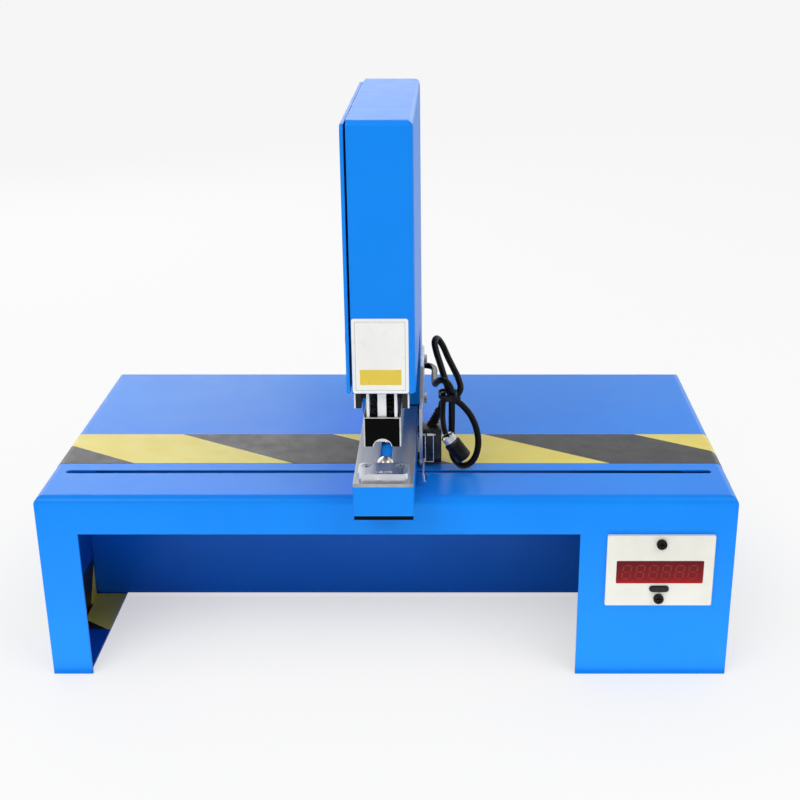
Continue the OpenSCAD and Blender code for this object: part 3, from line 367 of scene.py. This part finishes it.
def makeLeverFinish(v):
    mat, tree, shader = newMaterial("switchLever", v["face"], v["rough"][0])
    x, _, z = placeXYZ(tree)
    low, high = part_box("switch_lever")
    fromMiddle = sums(tree, "ABSOLUTE", sums(tree, "SUBTRACT", x, high.x - v["pinHalf"] * mm))
    sideways = sums(tree, "SUBTRACT", v["half"] * mm, fromMiddle)
    fromTop = sums(tree, "SUBTRACT", high.z - v["pinRadius"] * mm, z)
    endwise = sums(tree, "MINIMUM", sums(tree, "SUBTRACT", z, low.z), fromTop)
    bareHighlight = sums(tree, "LESS_THAN", sums(tree, "MINIMUM", sideways, endwise), v["rim"] * mm)
    tree.links.new(blendColours(tree, bareHighlight, v["face"], v["bareHighlight"]), shader.inputs["Base Color"])
    tree.links.new(sums(tree, "MULTIPLY", bareHighlight, v["metal"]), shader.inputs["Metallic"])
    unevenGloss(tree, shader, v["roughScale"], v["rough"])
    roughSurface(tree, shader, objectNoise(tree, v["grainScale"]), v["grain"], v["depth"])
    return mat


leverFinish = makeLeverFinish(leverValues)

# the frame plates: blackened, their front edges ground bare at both corners, the bare edges painted pale as a highlight
plateValues = {"deep": (24, 24, 27), "pale": (48, 49, 53), "bareHighlight": (238, 240, 243), "metal": 0.5,
               "rough": (0.36, 0.5), "gloss": 0.25, "rim": 1.1}


def fromPlateCorner(tree, x, y, z):
    low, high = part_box("frame_plate_right")
    outward = sums(tree, "ABSOLUTE", x)
    inner, outer = sums(tree, "SUBTRACT", outward, low.x), sums(tree, "SUBTRACT", high.x, outward)
    return sums(tree, "MAXIMUM", sums(tree, "MINIMUM", inner, outer), sums(tree, "SUBTRACT", y, low.y))


plateBlack = bareHighlightEdged("plateBlack", plateValues, fromPlateCorner)

# the counter's tinted window, darker at the top where the bezel shades it
windowValues = {"dark": (84, 0, 6), "mid": (120, 2, 10), "low": (178, 8, 10), "drift": 4.0, "driftScale": 120,
                "darkFrom": 10.0, "darkPast": 4.0, "lowFrom": 1.0, "lowTo": 7.0,
                "gloss": 0.14, "rough": (0.08, 0.18), "roughScale": 200}


def makeWindowFinish(v):
    mat, tree, shader = newMaterial("tintedWindow", v["mid"], v["rough"][0], gloss=v["gloss"])
    low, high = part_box("counter_window")
    z = placeXYZ(tree)[2]
    drift = sums(tree, "MULTIPLY_ADD", objectNoise(tree, v["driftScale"], 3), v["drift"] * mm, z)
    upper = spread(tree, drift, 0, 1, low.z + v["darkFrom"] * mm, high.z + v["darkPast"] * mm)
    lower = spread(tree, drift, 1, 0, low.z + v["lowFrom"] * mm, low.z + v["lowTo"] * mm)
    body = blendColours(tree, upper, v["mid"], v["dark"])
    tree.links.new(blendColours(tree, lower, body, v["low"]), shader.inputs["Base Color"])
    unevenGloss(tree, shader, v["roughScale"], v["rough"], 2)
    return mat


windowFinish = makeWindowFinish(windowValues)

finishes = {
    benchPaintAndShade: "bench_shell",
    bluePaint: "lower_arm tower_shell tower_side_plate rear_cover",
    shadePaint: "mid_panel",
    creamPlastic: "counter_bezel",
    blackPlastic: "counter_body reset_button micro_switch valve_coil power_inlet switch_frame cable_tie"
                  " staple_pusher cylinder_caps push_fittings",
    # arm_pad is a real pad, its deep black standing in for the shadow gap under the arm: painted shade
    blackAndShadowPad: "nose_block arm_pad",
    blackOxide: "counter_screws switch_screws frame_screws nose_springs",
    plateBlack: "frame_plate_left frame_plate_right",
    plateSteel: "anvil frame_spacers ram_block magazine valve_bracket",
    armSteel: "anvil_plate",
    stemSatin: "head_bracket driver",
    brightSteel: "piston_rod pusher_spring",
    platedSteel: "anvil_screws cover_screws side_standoffs base_bolts switch_bracket staple_strip power_supply",
    greyAlloy: "cylinder_bridge cylinder_barrel valve_body",
    softBrass: "air_inlet silencers",
    nickel: "plate_screws",
    blackRubber: "cable_grommet sensor_cable plug_lead cable_plug",
    blueTube: "air_tubes",
    redPlastic: "switch_plunger power_rocker counter_digits",
    hazardVinyl: "hazard_tape",
    leverFinish: "switch_lever",
    windowFinish: "counter_window",
}
for finish, names in finishes.items():
    for nodeName in names.split():
        nodes[nodeName].data.materials.clear()
        nodes[nodeName].data.materials.append(finish)
print("stage: finishes on the solids")

# cables: the same routes as the solids, mm right of the middle, behind the bench front, above its top
cableValues = {"diameter": 5.0, "length": 382.6, "leadDiameter": 4.0, "leadLength": 32.6, "perStretch": 8,
               "roundness": 4, "switchTop": 30.4, "bootBack": 69.0, "bootLong": 14.0, "bootTilt": 26.0}
grommetBack = (sum(c.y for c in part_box("cable_grommet")) / 2 - benchFront) / mm
grommetUp = (sum(c.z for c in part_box("cable_grommet")) / 2 - benchTop) / mm
wallX, feedX = rightFace / mm, switchX / mm


def bootPoint(along):  # a point on the tilted boot's own line
    tilt = math.radians(cableValues["bootTilt"])
    up = cableValues["switchTop"] + along * math.cos(tilt)
    return feedX + along * math.sin(tilt), cableValues["bootBack"], up


cableRoute = [
    (wallX - 1, grommetBack, grommetUp), (wallX + 4.5, grommetBack, grommetUp),
    (wallX + 8.8, grommetBack - 4, 46.2), (34.2, grommetBack - 13.4, 47.2),
    (34.4, 130, 50), (34.6, 108, 53.4), (35.2, 89, 57), (36, 75.6, 61.4), (37.2, 66.6, 66.4),
    (40.4, 60.4, 70), (44.8, 57.4, 69.2), (47.9, 57.2, 63.8), (48.4, 57.8, 55.4), (48.4, 58.4, 47),
    (48.4, 58.6, 37.4), (48.2, 58.2, 27), (48, 56.8, 16.4), (50.2, 54.4, 7.8), (56.2, 51.8, 3.2),
    (62.8, 52.2, 5.2), (67, 54, 11), (68.8, 56.8, 19.6), (67.4, 60.6, 30), (62.8, 64.2, 40),
    (56, 65.8, 48), (49.8, 65.4, 53), (46.4, 65.4, 58.4), (44.4, 67.4, 64.4), (42, 70.8, 71),
    (39.2, 75, 79), (36.5, 79, 86.6), (35.2, 83.6, 92.8), (37.2, 90, 93.6), (41.2, 93.4, 87),
    (45.6, 90.8, 77.6), (49.8, 86, 70.4), (53.6, 80.6, 63.8), (55.2, 76.4, 58), (52.6, 73.6, 53.2),
    (48, 72.4, 51.4), (44.2, 71.2, 50.8), (41, 69.8, 48.4),
    bootPoint(cableValues["bootLong"] + 2.2), bootPoint(cableValues["bootLong"]),
]
leadRoute = [
    (41.8, 58.4, 61), (41.8, 58.4, 57.8), (41.8, 57.6, 53), (41.6, 55.4, 47), (41.6, 52.4, 41.2),
    (42.4, 49.6, 35.8), (43.8, 48, 30.8),
]


def smoothRoute(points, perStretch):  # one smooth line through the chosen points
    p = [Vector(q) for q in points]
    last = len(p) - 1
    line = []
    for i in range(last):
        a, b, c, d = p[max(i - 1, 0)], p[i], p[i + 1], p[min(i + 2, last)]
        for j in range(perStretch):
            t = j / perStretch
            bend, twist = 2 * a - 5 * b + 4 * c - d, 3 * b - a - 3 * c + d
            line.append(0.5 * (2 * b + (c - a) * t + bend * t * t + twist * t ** 3))
    return [atBench(*q) for q in line + [p[last]]]


def makeCable(name, points, diameter, mat, replaced):
    line = smoothRoute(points, cableValues["perStretch"])
    data = bpy.data.curves.new(name, "CURVE")
    data.dimensions = "3D"
    data.bevel_depth, data.bevel_resolution = diameter * mm / 2, cableValues["roundness"]
    data.use_fill_caps = True
    spline = data.splines.new("POLY")
    spline.points.add(len(line) - 1)
    for point, place in zip(spline.points, line):
        point.co = (*place, 1)
    spline.use_smooth = True
    data.materials.append(mat)
    piece = bpy.data.objects.new(name, data)
    bpy.context.scene.collection.objects.link(piece)
    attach(piece, "frame")
    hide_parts(replaced)
    return piece, line


jacketValues = {"deep": (3, 3, 4), "pale": (6, 6, 7), "gloss": 0.18, "rough": (0.3, 0.4), "cloudScale": 60,
                "roughScale": 220, "grainScale": 1100, "grain": 0.10, "depth": 0.2}


def makeJacket(v):
    mat, tree, shader = newMaterial("cableJacket", v["pale"], v["rough"][0], gloss=v["gloss"])
    tree.links.new(cloudColour(tree, v["cloudScale"], v["deep"], v["pale"]), shader.inputs["Base Color"])
    unevenGloss(tree, shader, v["roughScale"], v["rough"])
    roughSurface(tree, shader, objectNoise(tree, v["grainScale"]), v["grain"], v["depth"])
    return mat


cableJacket = makeJacket(jacketValues)
sensorCable, cableLine = makeCable("sensorCable", cableRoute, cableValues["diameter"], cableJacket, "sensor_cable")
plugLead, leadLine = makeCable("plugLead", leadRoute, cableValues["leadDiameter"], cableJacket, "plug_lead")
print("stage: cables laid")

# the plug hanging on the short lead: a knurled bright collar and a ribbed black body, as (radius, height) points
plugValues = {"place": (43.8, 48, 30.7), "pointing": (0.58, 0, -0.815), "steps": 60, "knurl": 0.08, "knurlDepth": 0.18,
              "collar": [(1.6, 0.9), (3.2, 0.9), (4.5, 1.2), (5.0, 1.8), (5.0, 6.9), (4.7, 7.4), (4.7, 8.2), (1.6, 8.2)],
              "front": [(0, 8.1), (4.4, 8.1), (6.0, 8.1), (6.5, 8.7), (6.5, 10.2)],
              "rib": [(6.05, 0), (6.05, 0.5), (6.5, 0.8), (6.5, 1.2)], "ribs": 5, "ribFrom": 10.6, "ribPitch": 1.5,
              "end": [(6.5, 22.6), (6.1, 23.5), (5.4, 23.9), (4.8, 23.9), (4.5, 21.4), (0, 21.4)]}


def makePlug(v):
    collar = turnProfile(v["collar"], v["steps"])
    outside = max(r for r, z in v["collar"]) * mm
    grip = [f for f in collar.faces if all(abs(e.co.to_2d().length - outside) < 10 * near for e in f.verts)]
    bmesh.ops.inset_individual(collar, faces=grip, thickness=v["knurl"] * mm, depth=-v["knurlDepth"] * mm)
    ribs = [(r, v["ribFrom"] + i * v["ribPitch"] + z) for i in range(v["ribs"]) for r, z in v["rib"]]
    body = turnProfile(v["front"] + ribs + v["end"], v["steps"])
    turn = Vector(v["pointing"]).to_track_quat("Z", "Y").to_matrix().to_4x4()
    for bm in (collar, body):
        bmesh.ops.transform(bm, matrix=Matrix.Translation(atBench(*v["place"])) @ turn, verts=bm.verts)
    first = finishPiece("plugCollar", collar, brightSteel, "frame", "cable_plug")
    second = finishPiece("plugBody", body, blackPlastic, "frame", "cable_plug")
    return first, second


plugCollar, plugBody = makePlug(plugValues)

# the tie round the hank: a flat band, its square head and a short ribbed tail
tieValues = {"low": (38.2, 53.2, 57), "high": (52.4, 70, 59.8), "wall": 1.0, "corner": 4.6, "cornerSteps": 8,
             "head": (43.4, 50.2, 56.2), "headSize": (5.0, 3.6, 4.4), "headRound": 0.6,
             "tail": (4.6, 1.2, 1.0), "tailSize": (7.0, 1.0, 2.6), "tailRound": 0.3,
             "ribs": 6, "ribPitch": 0.9, "ribStart": (1.0, -0.2, 0.4), "ribSize": (0.35, 0.3, 1.8)}


def makeTie(v):
    bm = bmesh.new()
    addBox(bm, atBench(*v["low"]), atBench(*v["high"]))
    upright = [e for e in bm.edges if abs(e.verts[0].co.z - e.verts[1].co.z) > near]
    bmesh.ops.bevel(bm, geom=upright, offset=v["corner"] * mm, segments=v["cornerSteps"], profile=0.5,
                    affect="EDGES", material=-1)
    ends = [f for f in bm.faces if abs(f.normal.z) > 0.9]
    bmesh.ops.delete(bm, geom=ends, context="FACES_ONLY")
    bmesh.ops.recalc_face_normals(bm, faces=bm.faces)
    bmesh.ops.solidify(bm, geom=bm.faces[:], thickness=v["wall"] * mm)
    head = atBench(*v["head"])
    addBox(bm, head, head + Vector(v["headSize"]) * mm, v["headRound"])
    tail = head + Vector(v["tail"]) * mm
    addBox(bm, tail, tail + Vector(v["tailSize"]) * mm, v["tailRound"])
    for i in range(v["ribs"]):
        rib = tail + (Vector(v["ribStart"]) + Vector((i * v["ribPitch"], 0, 0))) * mm
        addBox(bm, rib, rib + Vector(v["ribSize"]) * mm)
    return finishPiece("cableTie", bm, blackPlastic, "frame", "cable_tie")


cableTie = makeTie(tieValues)
print("stage: plug and tie made")

# the trigger switch: a two-part case with a sunk panel, pivot ears and a ribbed boot
switchValues = {"bottom": 2.6, "earReach": 3.1, "seam": 0.35, "caseRound": 0.5, "core": (0.6, 0.5, 0.5),
                "panel": 1.4, "panelLip": 0.3, "panelDepth": 0.4, "panelLeast": 100.0,
                "earApart": 4.4, "earHalf": 0.6, "earLow": 4.8, "earHigh": 1.4, "earRound": 0.3}
bootValues = {"wide": 3.9, "thin": 3.3, "bore": 2.5, "sunk": 2.0, "foot": 1.6, "lip": (0.4, 0.6), "steps": 40,
              "ribs": 4, "ribFrom": 2.2, "ribless": 4.0, "rib": [(0.7, 0), (0.7, 0.35), (0, 0.5), (0, 0.85)]}


def makeSwitch(v):
    low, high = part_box("micro_switch")
    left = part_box("switch_bracket")[1].x
    case = Vector((left, low.y + v["earReach"] * mm, benchTop + v["bottom"] * mm))
    top = Vector((2 * switchX - left, high.y, benchTop + cableValues["switchTop"] * mm))
    gap, core = v["seam"] * mm / 2, Vector(v["core"]) * mm
    bm = bmesh.new()
    addBox(bm, case, (switchX - gap, top.y, top.z), v["caseRound"])
    addBox(bm, (switchX + gap, case.y, case.z), top, v["caseRound"])
    addBox(bm, case + core, top - core)
    for side in [f for f in bm.faces if f.normal.x > 0.95 and f.calc_area() > v["panelLeast"] * mm * mm]:
        bmesh.ops.inset_region(bm, faces=[side], thickness=v["panel"] * mm, depth=0)
        bmesh.ops.inset_region(bm, faces=[side], thickness=v["panelLip"] * mm, depth=-v["panelDepth"] * mm)
    half = v["earHalf"] * mm
    for side in (-1, 1):
        ear = switchX + side * v["earApart"] * mm
        addBox(bm, (ear - half, low.y, top.z - v["earLow"] * mm),
               (ear + half, case.y + half, top.z - v["earHigh"] * mm), v["earRound"])
    finishPiece("switchCase", bm, switchPlastic, "frame", "micro_switch")


def makeBoot(v):
    shape = [(0, -v["sunk"]), (v["wide"], -v["sunk"]), (v["wide"], v["foot"])]
    tall = cableValues["bootLong"]
    step = (tall - v["ribless"]) / v["ribs"]
    for i in range(v["ribs"]):
        wideHere = v["wide"] + (v["thin"] - v["wide"]) * (i + 0.5) / v["ribs"]
        shape += [(wideHere - deep, v["ribFrom"] + (i + share) * step) for deep, share in v["rib"]]
    inset, under = v["lip"]
    shape += [(v["thin"], tall - under), (v["thin"] - inset, tall), (v["bore"], tall)]
    boot = turnProfile(shape, v["steps"])
    turn = Matrix.Rotation(math.radians(cableValues["bootTilt"]), 4, "Y")
    bmesh.ops.transform(boot, matrix=Matrix.Translation(atBench(*bootPoint(0))) @ turn, verts=boot.verts)
    finishPiece("switchBoot", boot, blackRubber, "frame", "micro_switch")


makeSwitch(switchValues)
makeBoot(bootValues)
print("stage: switch made")

# wound springs, each a wire turned round its axis
springValues = {"noseWire": 0.9, "noseTurns": 8, "pushWire": 0.6, "pushTurns": 11, "steps": 22, "sides": 10,
                "smoothAngle": 60}


def windSpring(bm, start, axis, outside, wire, length, turns):
    made = bmesh.ops.create_circle(bm, segments=springValues["sides"], radius=wire / 2, cap_ends=False)["verts"]
    bmesh.ops.rotate(bm, verts=made, cent=(0, 0, 0), matrix=Matrix.Rotation(math.pi / 2, 3, "X"))
    bmesh.ops.translate(bm, vec=((outside - wire) / 2, 0, wire / 2), verts=made)
    ring = list({e for v in made for e in v.link_edges})
    steps = turns * springValues["steps"]
    bmesh.ops.spin(bm, geom=list(made) + ring, cent=(0, 0, 0), axis=(0, 0, 1), dvec=(0, 0, (length - wire) / steps),
                   angle=math.tau * turns, steps=steps)
    bmesh.ops.holes_fill(bm, edges=[e for e in bm.edges if e.is_boundary])
    turn = Vector(axis).to_track_quat("Z", "X").to_matrix().to_4x4()
    fresh = [v for v in bm.verts if not v.tag]  # an earlier spring in the same mesh stays where it is
    bmesh.ops.transform(bm, matrix=Matrix.Translation(start) @ turn, verts=fresh)
    for v in bm.verts:
        v.tag = True


def makeNoseSprings(v):
    low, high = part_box("nose_springs")
    wide, tall = high.y - low.y, high.z - low.z
    bm = bmesh.new()
    for x in (low.x + wide / 2, high.x - wide / 2):
        start = Vector((x, (low.y + high.y) / 2, low.z))
        windSpring(bm, start, (0, 0, 1), wide, v["noseWire"] * mm, tall, v["noseTurns"])
    nose = finishPiece("noseSprings", bm, blackOxide, "head", "nose_springs", v["smoothAngle"])
    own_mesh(nose)


def makePusherSpring(v):
    low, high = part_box("pusher_spring")
    wide, run = high.x - low.x, high.y - low.y
    bm = bmesh.new()
    start = Vector(((low.x + high.x) / 2, low.y, (low.z + high.z) / 2))
    windSpring(bm, start, (0, 1, 0), wide, v["pushWire"] * mm, run, v["pushTurns"])
    push = finishPiece("pusherSpring", bm, brightSteel, "head", "pusher_spring", v["smoothAngle"])
    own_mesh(push)


makeNoseSprings(springValues)
makePusherSpring(springValues)
print("stage: springs wound")

# the nose block: its arch carried right through, bare steel along the front's top edge and round the arch, painted pale
# as a highlight
noseValues = {"deep": (3, 3, 4), "pale": (6, 6, 7), "bareHighlight": (226, 228, 231), "metal": 0.5, "rough": (0.36, 0.5),
              "gloss": 0.05, "rim": 0.5, "archHigh": 5.4, "archRadius": 6.45, "steps": 96, "cutterLong": 1.5}
noseLow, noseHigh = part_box("nose_block")
archZ = noseLow.z + (noseValues["archHigh"] - noseValues["archRadius"]) * mm


def fromNoseEdge(tree, x, y, z):
    up = sums(tree, "SUBTRACT", z, archZ)
    square = sums(tree, "MULTIPLY_ADD", x, x, sums(tree, "MULTIPLY", up, up))
    fromArch = sums(tree, "SUBTRACT", sums(tree, "SQRT", square), noseValues["archRadius"] * mm)
    fromTop = sums(tree, "SUBTRACT", noseHigh.z, z)
    return sums(tree, "MAXIMUM", sums(tree, "MINIMUM", fromArch, fromTop), sums(tree, "SUBTRACT", y, noseLow.y))


def makeNose(v):
    bm = bmesh.new()
    bm.from_mesh(nodes["nose_block"].data)
    bmesh.ops.remove_doubles(bm, verts=bm.verts, dist=near)
    blank = looseObject("noseBlank", bm)
    bm = bmesh.new()
    radius, mid = v["archRadius"] * mm, (noseLow + noseHigh) / 2
    made = bmesh.ops.create_cone(bm, cap_ends=True, segments=v["steps"], radius1=radius, radius2=radius,
                                 depth=(noseHigh.y - noseLow.y) * v["cutterLong"])["verts"]
    bmesh.ops.rotate(bm, verts=made, cent=(0, 0, 0), matrix=Matrix.Rotation(math.pi / 2, 3, "X"))
    bmesh.ops.translate(bm, vec=(mid.x, mid.y, archZ), verts=made)
    cutter = looseObject("archCutter", bm)
    cut = blank.modifiers.new("arch", "BOOLEAN")
    cut.operation, cut.solver, cut.object = "DIFFERENCE", "EXACT", cutter
    bpy.context.view_layer.update()
    shaped = bpy.data.meshes.new_from_object(blank.evaluated_get(bpy.context.evaluated_depsgraph_get()))
    for spare in (blank, cutter):
        bpy.data.objects.remove(spare)
    bm = bmesh.new()
    bm.from_mesh(shaped)
    mat = bareHighlightEdged("noseBlack", v, fromNoseEdge)
    finishPiece("noseBlock", bm, mat, "head", "nose_block")


makeNose(noseValues)
print("stage: nose block cut")

# unlit seven-segment figures, faint on the window
digitValues = {"count": 6, "tall": 11.0, "wide": 6.0, "stroke": 1.0, "lean": 0.12, "perWindow": 6.6, "proud": 0.04,
               "sunk": 0.2, "endGap": 0.6, "midGap": 0.54, "colour": (126, 32, 34), "pale": (142, 46, 46),
               "gloss": 0.14, "rough": 0.3, "cloudScale": 150}


def makeDigits(v):
    low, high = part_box("counter_window")
    mid = (low + high) / 2
    front, back = low.y - v["proud"] * mm, low.y + v["sunk"] * mm
    pitch = (high.x - low.x) / v["perWindow"]
    tall, wide, t = v["tall"] * mm / 2, v["wide"] * mm / 2, v["stroke"] * mm
    strokes = [((t - wide, k * tall - t / 2), (wide - t, k * tall + t / 2)) for k in (-1, 0, 1)]
    for x in (-wide, wide):
        for foot, gap in ((-tall, v["endGap"]), (0, v["midGap"])):
            strokes.append(((x - t / 2, foot + gap * t), (x + t / 2, foot + tall - v["endGap"] * t)))
    bm = bmesh.new()
    for i in range(v["count"]):
        cx = mid.x + (i - (v["count"] - 1) / 2) * pitch
        for (x0, z0), (x1, z1) in strokes:
            for vert in addBox(bm, (cx + x0, front, mid.z + z0), (cx + x1, back, mid.z + z1)):
                vert.co.x += (vert.co.z - mid.z) * v["lean"]
    mat, tree, shader = newMaterial("unlitFigures", v["colour"], v["rough"], gloss=v["gloss"])
    tree.links.new(cloudColour(tree, v["cloudScale"], v["colour"], v["pale"], 2), shader.inputs["Base Color"])
    finishPiece("unlitFigures", bm, mat, "frame", "counter_digits")


makeDigits(digitValues)

# the white film on the tower's front: plain, with a thin rim line and a bare yellow band
filmValues = {"white": (250, 250, 248), "cloud": (243, 243, 241), "cloudScale": 40, "rim": (206, 207, 206),
              "yellow": (232, 205, 70), "corner": 1.6, "cornerSteps": 5, "inset": 2.2, "line": 0.5,
              "bandLow": 6.0, "bandHigh": 17.0, "bandSide": 5.0, "rough": (0.24, 0.38), "roughScale": 120,
              "grainScale": 300, "grain": 0.04, "depth": 0.3}


def makeFilm(v):
    low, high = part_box("label_plate")
    mid, half = (low + high) / 2, (high - low) / 2
    bm = bmesh.new()
    addBox(bm, low, high)
    corners = [e for e in bm.edges if abs(e.verts[0].co.y - e.verts[1].co.y) > near]
    bmesh.ops.bevel(bm, geom=corners, offset=v["corner"] * mm, segments=v["cornerSteps"], profile=0.5,
                    affect="EDGES", material=-1)
    mat, tree, shader = newMaterial("whiteFilm", v["white"], v["rough"][0])
    x, _, z = placeXYZ(tree)
    edgeX = sums(tree, "SUBTRACT", half.x, sums(tree, "ABSOLUTE", sums(tree, "SUBTRACT", x, mid.x)))
    edgeZ = sums(tree, "SUBTRACT", half.z, sums(tree, "ABSOLUTE", sums(tree, "SUBTRACT", z, mid.z)))
    rim = sums(tree, "COMPARE", sums(tree, "MINIMUM", edgeX, edgeZ), v["inset"] * mm, v["line"] * mm / 2)
    bandMid, bandHalf = (v["bandHigh"] + v["bandLow"]) / 2 * mm, (v["bandHigh"] - v["bandLow"]) / 2 * mm
    inBand = sums(tree, "COMPARE", z, low.z + bandMid, bandHalf)
    band = sums(tree, "MULTIPLY", inBand, sums(tree, "GREATER_THAN", edgeX, v["bandSide"] * mm))
    lined = blendColours(tree, rim, cloudColour(tree, v["cloudScale"], v["white"], v["cloud"]), v["rim"])
    tree.links.new(blendColours(tree, band, lined, v["yellow"]), shader.inputs["Base Color"])
    unevenGloss(tree, shader, v["roughScale"], v["rough"])
    roughSurface(tree, shader, objectNoise(tree, v["grainScale"]), v["grain"], v["depth"])
    finishPiece("whiteFilm", bm, mat, "frame", "label_plate")


makeFilm(filmValues)
print("stage: counter figures and front film made")

# floor and room, in metres; the world is white to the camera and dimmer behind it
floorValues = {"colour": (246, 246, 246), "rough": 0.9, "half": 40, "glow": 0.86, "mirror": 0.4, "shade": 0.45,
               "shadeReach": 0.15}
roomValues = {"diffuse": 0.42, "behind": 0.2, "behindSpan": (-0.6, 0.5), "wallGlow": 2.2, "wallSpan": (0.1, 0.32)}
# lamps: place, what they point at, size and power
cardY = benchFront - 0.105
lampValues = {"keyLight": ((-0.9, -1.4, 1.7), (0, 0, 0.15), (1.2, 0.9), 14.5),
              "fillLight": ((1.0, -0.9, 1.6), (0.05, 0, 0.15), (1.0, 1.0), 9.8),
              "floorCard": ((0, cardY, 0.002), (0, cardY, 1), (0.9, 0.2), 0.5),  # a white card before the legs
              "backCard": ((-0.9, 1.5, 0.9), (-0.1, 0, 0.15), (1.4, 0.8), 6.0)}


def areaLight(name, place, target, size, power):
    data = bpy.data.lights.new(name, "AREA")
    data.shape, data.size, data.size_y, data.energy = "RECTANGLE", size[0], size[1], power
    lamp = bpy.data.objects.new(name, data)
    bpy.context.scene.collection.objects.link(lamp)
    lamp.location = place
    lamp.rotation_euler = (Vector(target) - Vector(place)).to_track_quat("-Z", "Y").to_euler()
    return lamp


def directRays(tree):  # 1 for the camera's own rays, and 1 for those, a reflection's and clear glass's
    path = addNode(tree, "ShaderNodeLightPath")
    camera = path.outputs["Is Camera Ray"]
    seen = sums(tree, "MAXIMUM", camera, path.outputs["Is Glossy Ray"])
    return camera, sums(tree, "MAXIMUM", seen, path.outputs["Is Transmission Ray"])


def makeFloor(v):
    bm = bmesh.new()
    bmesh.ops.create_grid(bm, x_segments=2, y_segments=2, size=v["half"])
    floor = looseObject("studioFloor", bm)
    mat, tree, shader = newMaterial("studioFloor", v["colour"], v["rough"])
    floor.data.materials.append(mat)
    camera, seen = directRays(tree)
    glow = addNode(tree, "ShaderNodeEmission", Strength=1.0)
    mix = addNode(tree, "ShaderNodeMixShader")
    shade = addNode(tree, "ShaderNodeAmbientOcclusion", samples=4, Distance=v["shadeReach"])
    clear = sums(tree, "MULTIPLY_ADD", shade.outputs["AO"], 1 - v["shade"], v["shade"])  # less glow under the part
    fullGlow = sums(tree, "MULTIPLY", sums(tree, "MULTIPLY", camera, v["glow"]), clear)
    tree.links.new(sums(tree, "MAXIMUM", fullGlow, sums(tree, "MULTIPLY", seen, v["mirror"])), mix.inputs[0])
    tree.links.new(shader.outputs[0], mix.inputs[1])
    tree.links.new(glow.outputs[0], mix.inputs[2])
    tree.links.new(mix.outputs[0], tree.nodes["Material Output"].inputs["Surface"])


def makeRoom(v):
    world = bpy.data.worlds.new("studioWorld")
    bpy.context.scene.world = world
    world.use_nodes = True
    tree = world.node_tree
    sky = tree.nodes["Background"]
    sky.inputs["Color"].default_value = (1, 1, 1, 1)
    camera, seen = directRays(tree)
    coord = addNode(tree, "ShaderNodeTexCoord")
    split = addNode(tree, "ShaderNodeSeparateXYZ")
    tree.links.new(coord.outputs["Generated"], split.inputs[0])
    ahead = spread(tree, split.outputs[1], v["behind"], 1.0, *v["behindSpan"])  # the room behind the camera is dim
    low = spread(tree, split.outputs[2], v["wallGlow"], 1.0, *v["wallSpan"])  # and the far wall is lit from below
    room = sums(tree, "MULTIPLY", ahead, low)
    whiten = sums(tree, "MULTIPLY", sums(tree, "SUBTRACT", 1.0, room), camera)
    shown = sums(tree, "ADD", room, whiten)  # plain white behind the part
    level = sums(tree, "MULTIPLY_ADD", sums(tree, "SUBTRACT", shown, v["diffuse"]), seen, v["diffuse"])
    tree.links.new(level, sky.inputs["Strength"])


makeFloor(floorValues)
makeRoom(roomValues)
lamps = {name: areaLight(name, *values) for name, values in lampValues.items()}
lamps["floorCard"].visible_camera = False  # seen only in the paint
bpy.context.scene.view_settings.view_transform = "Standard"
print("stage: studio lit")
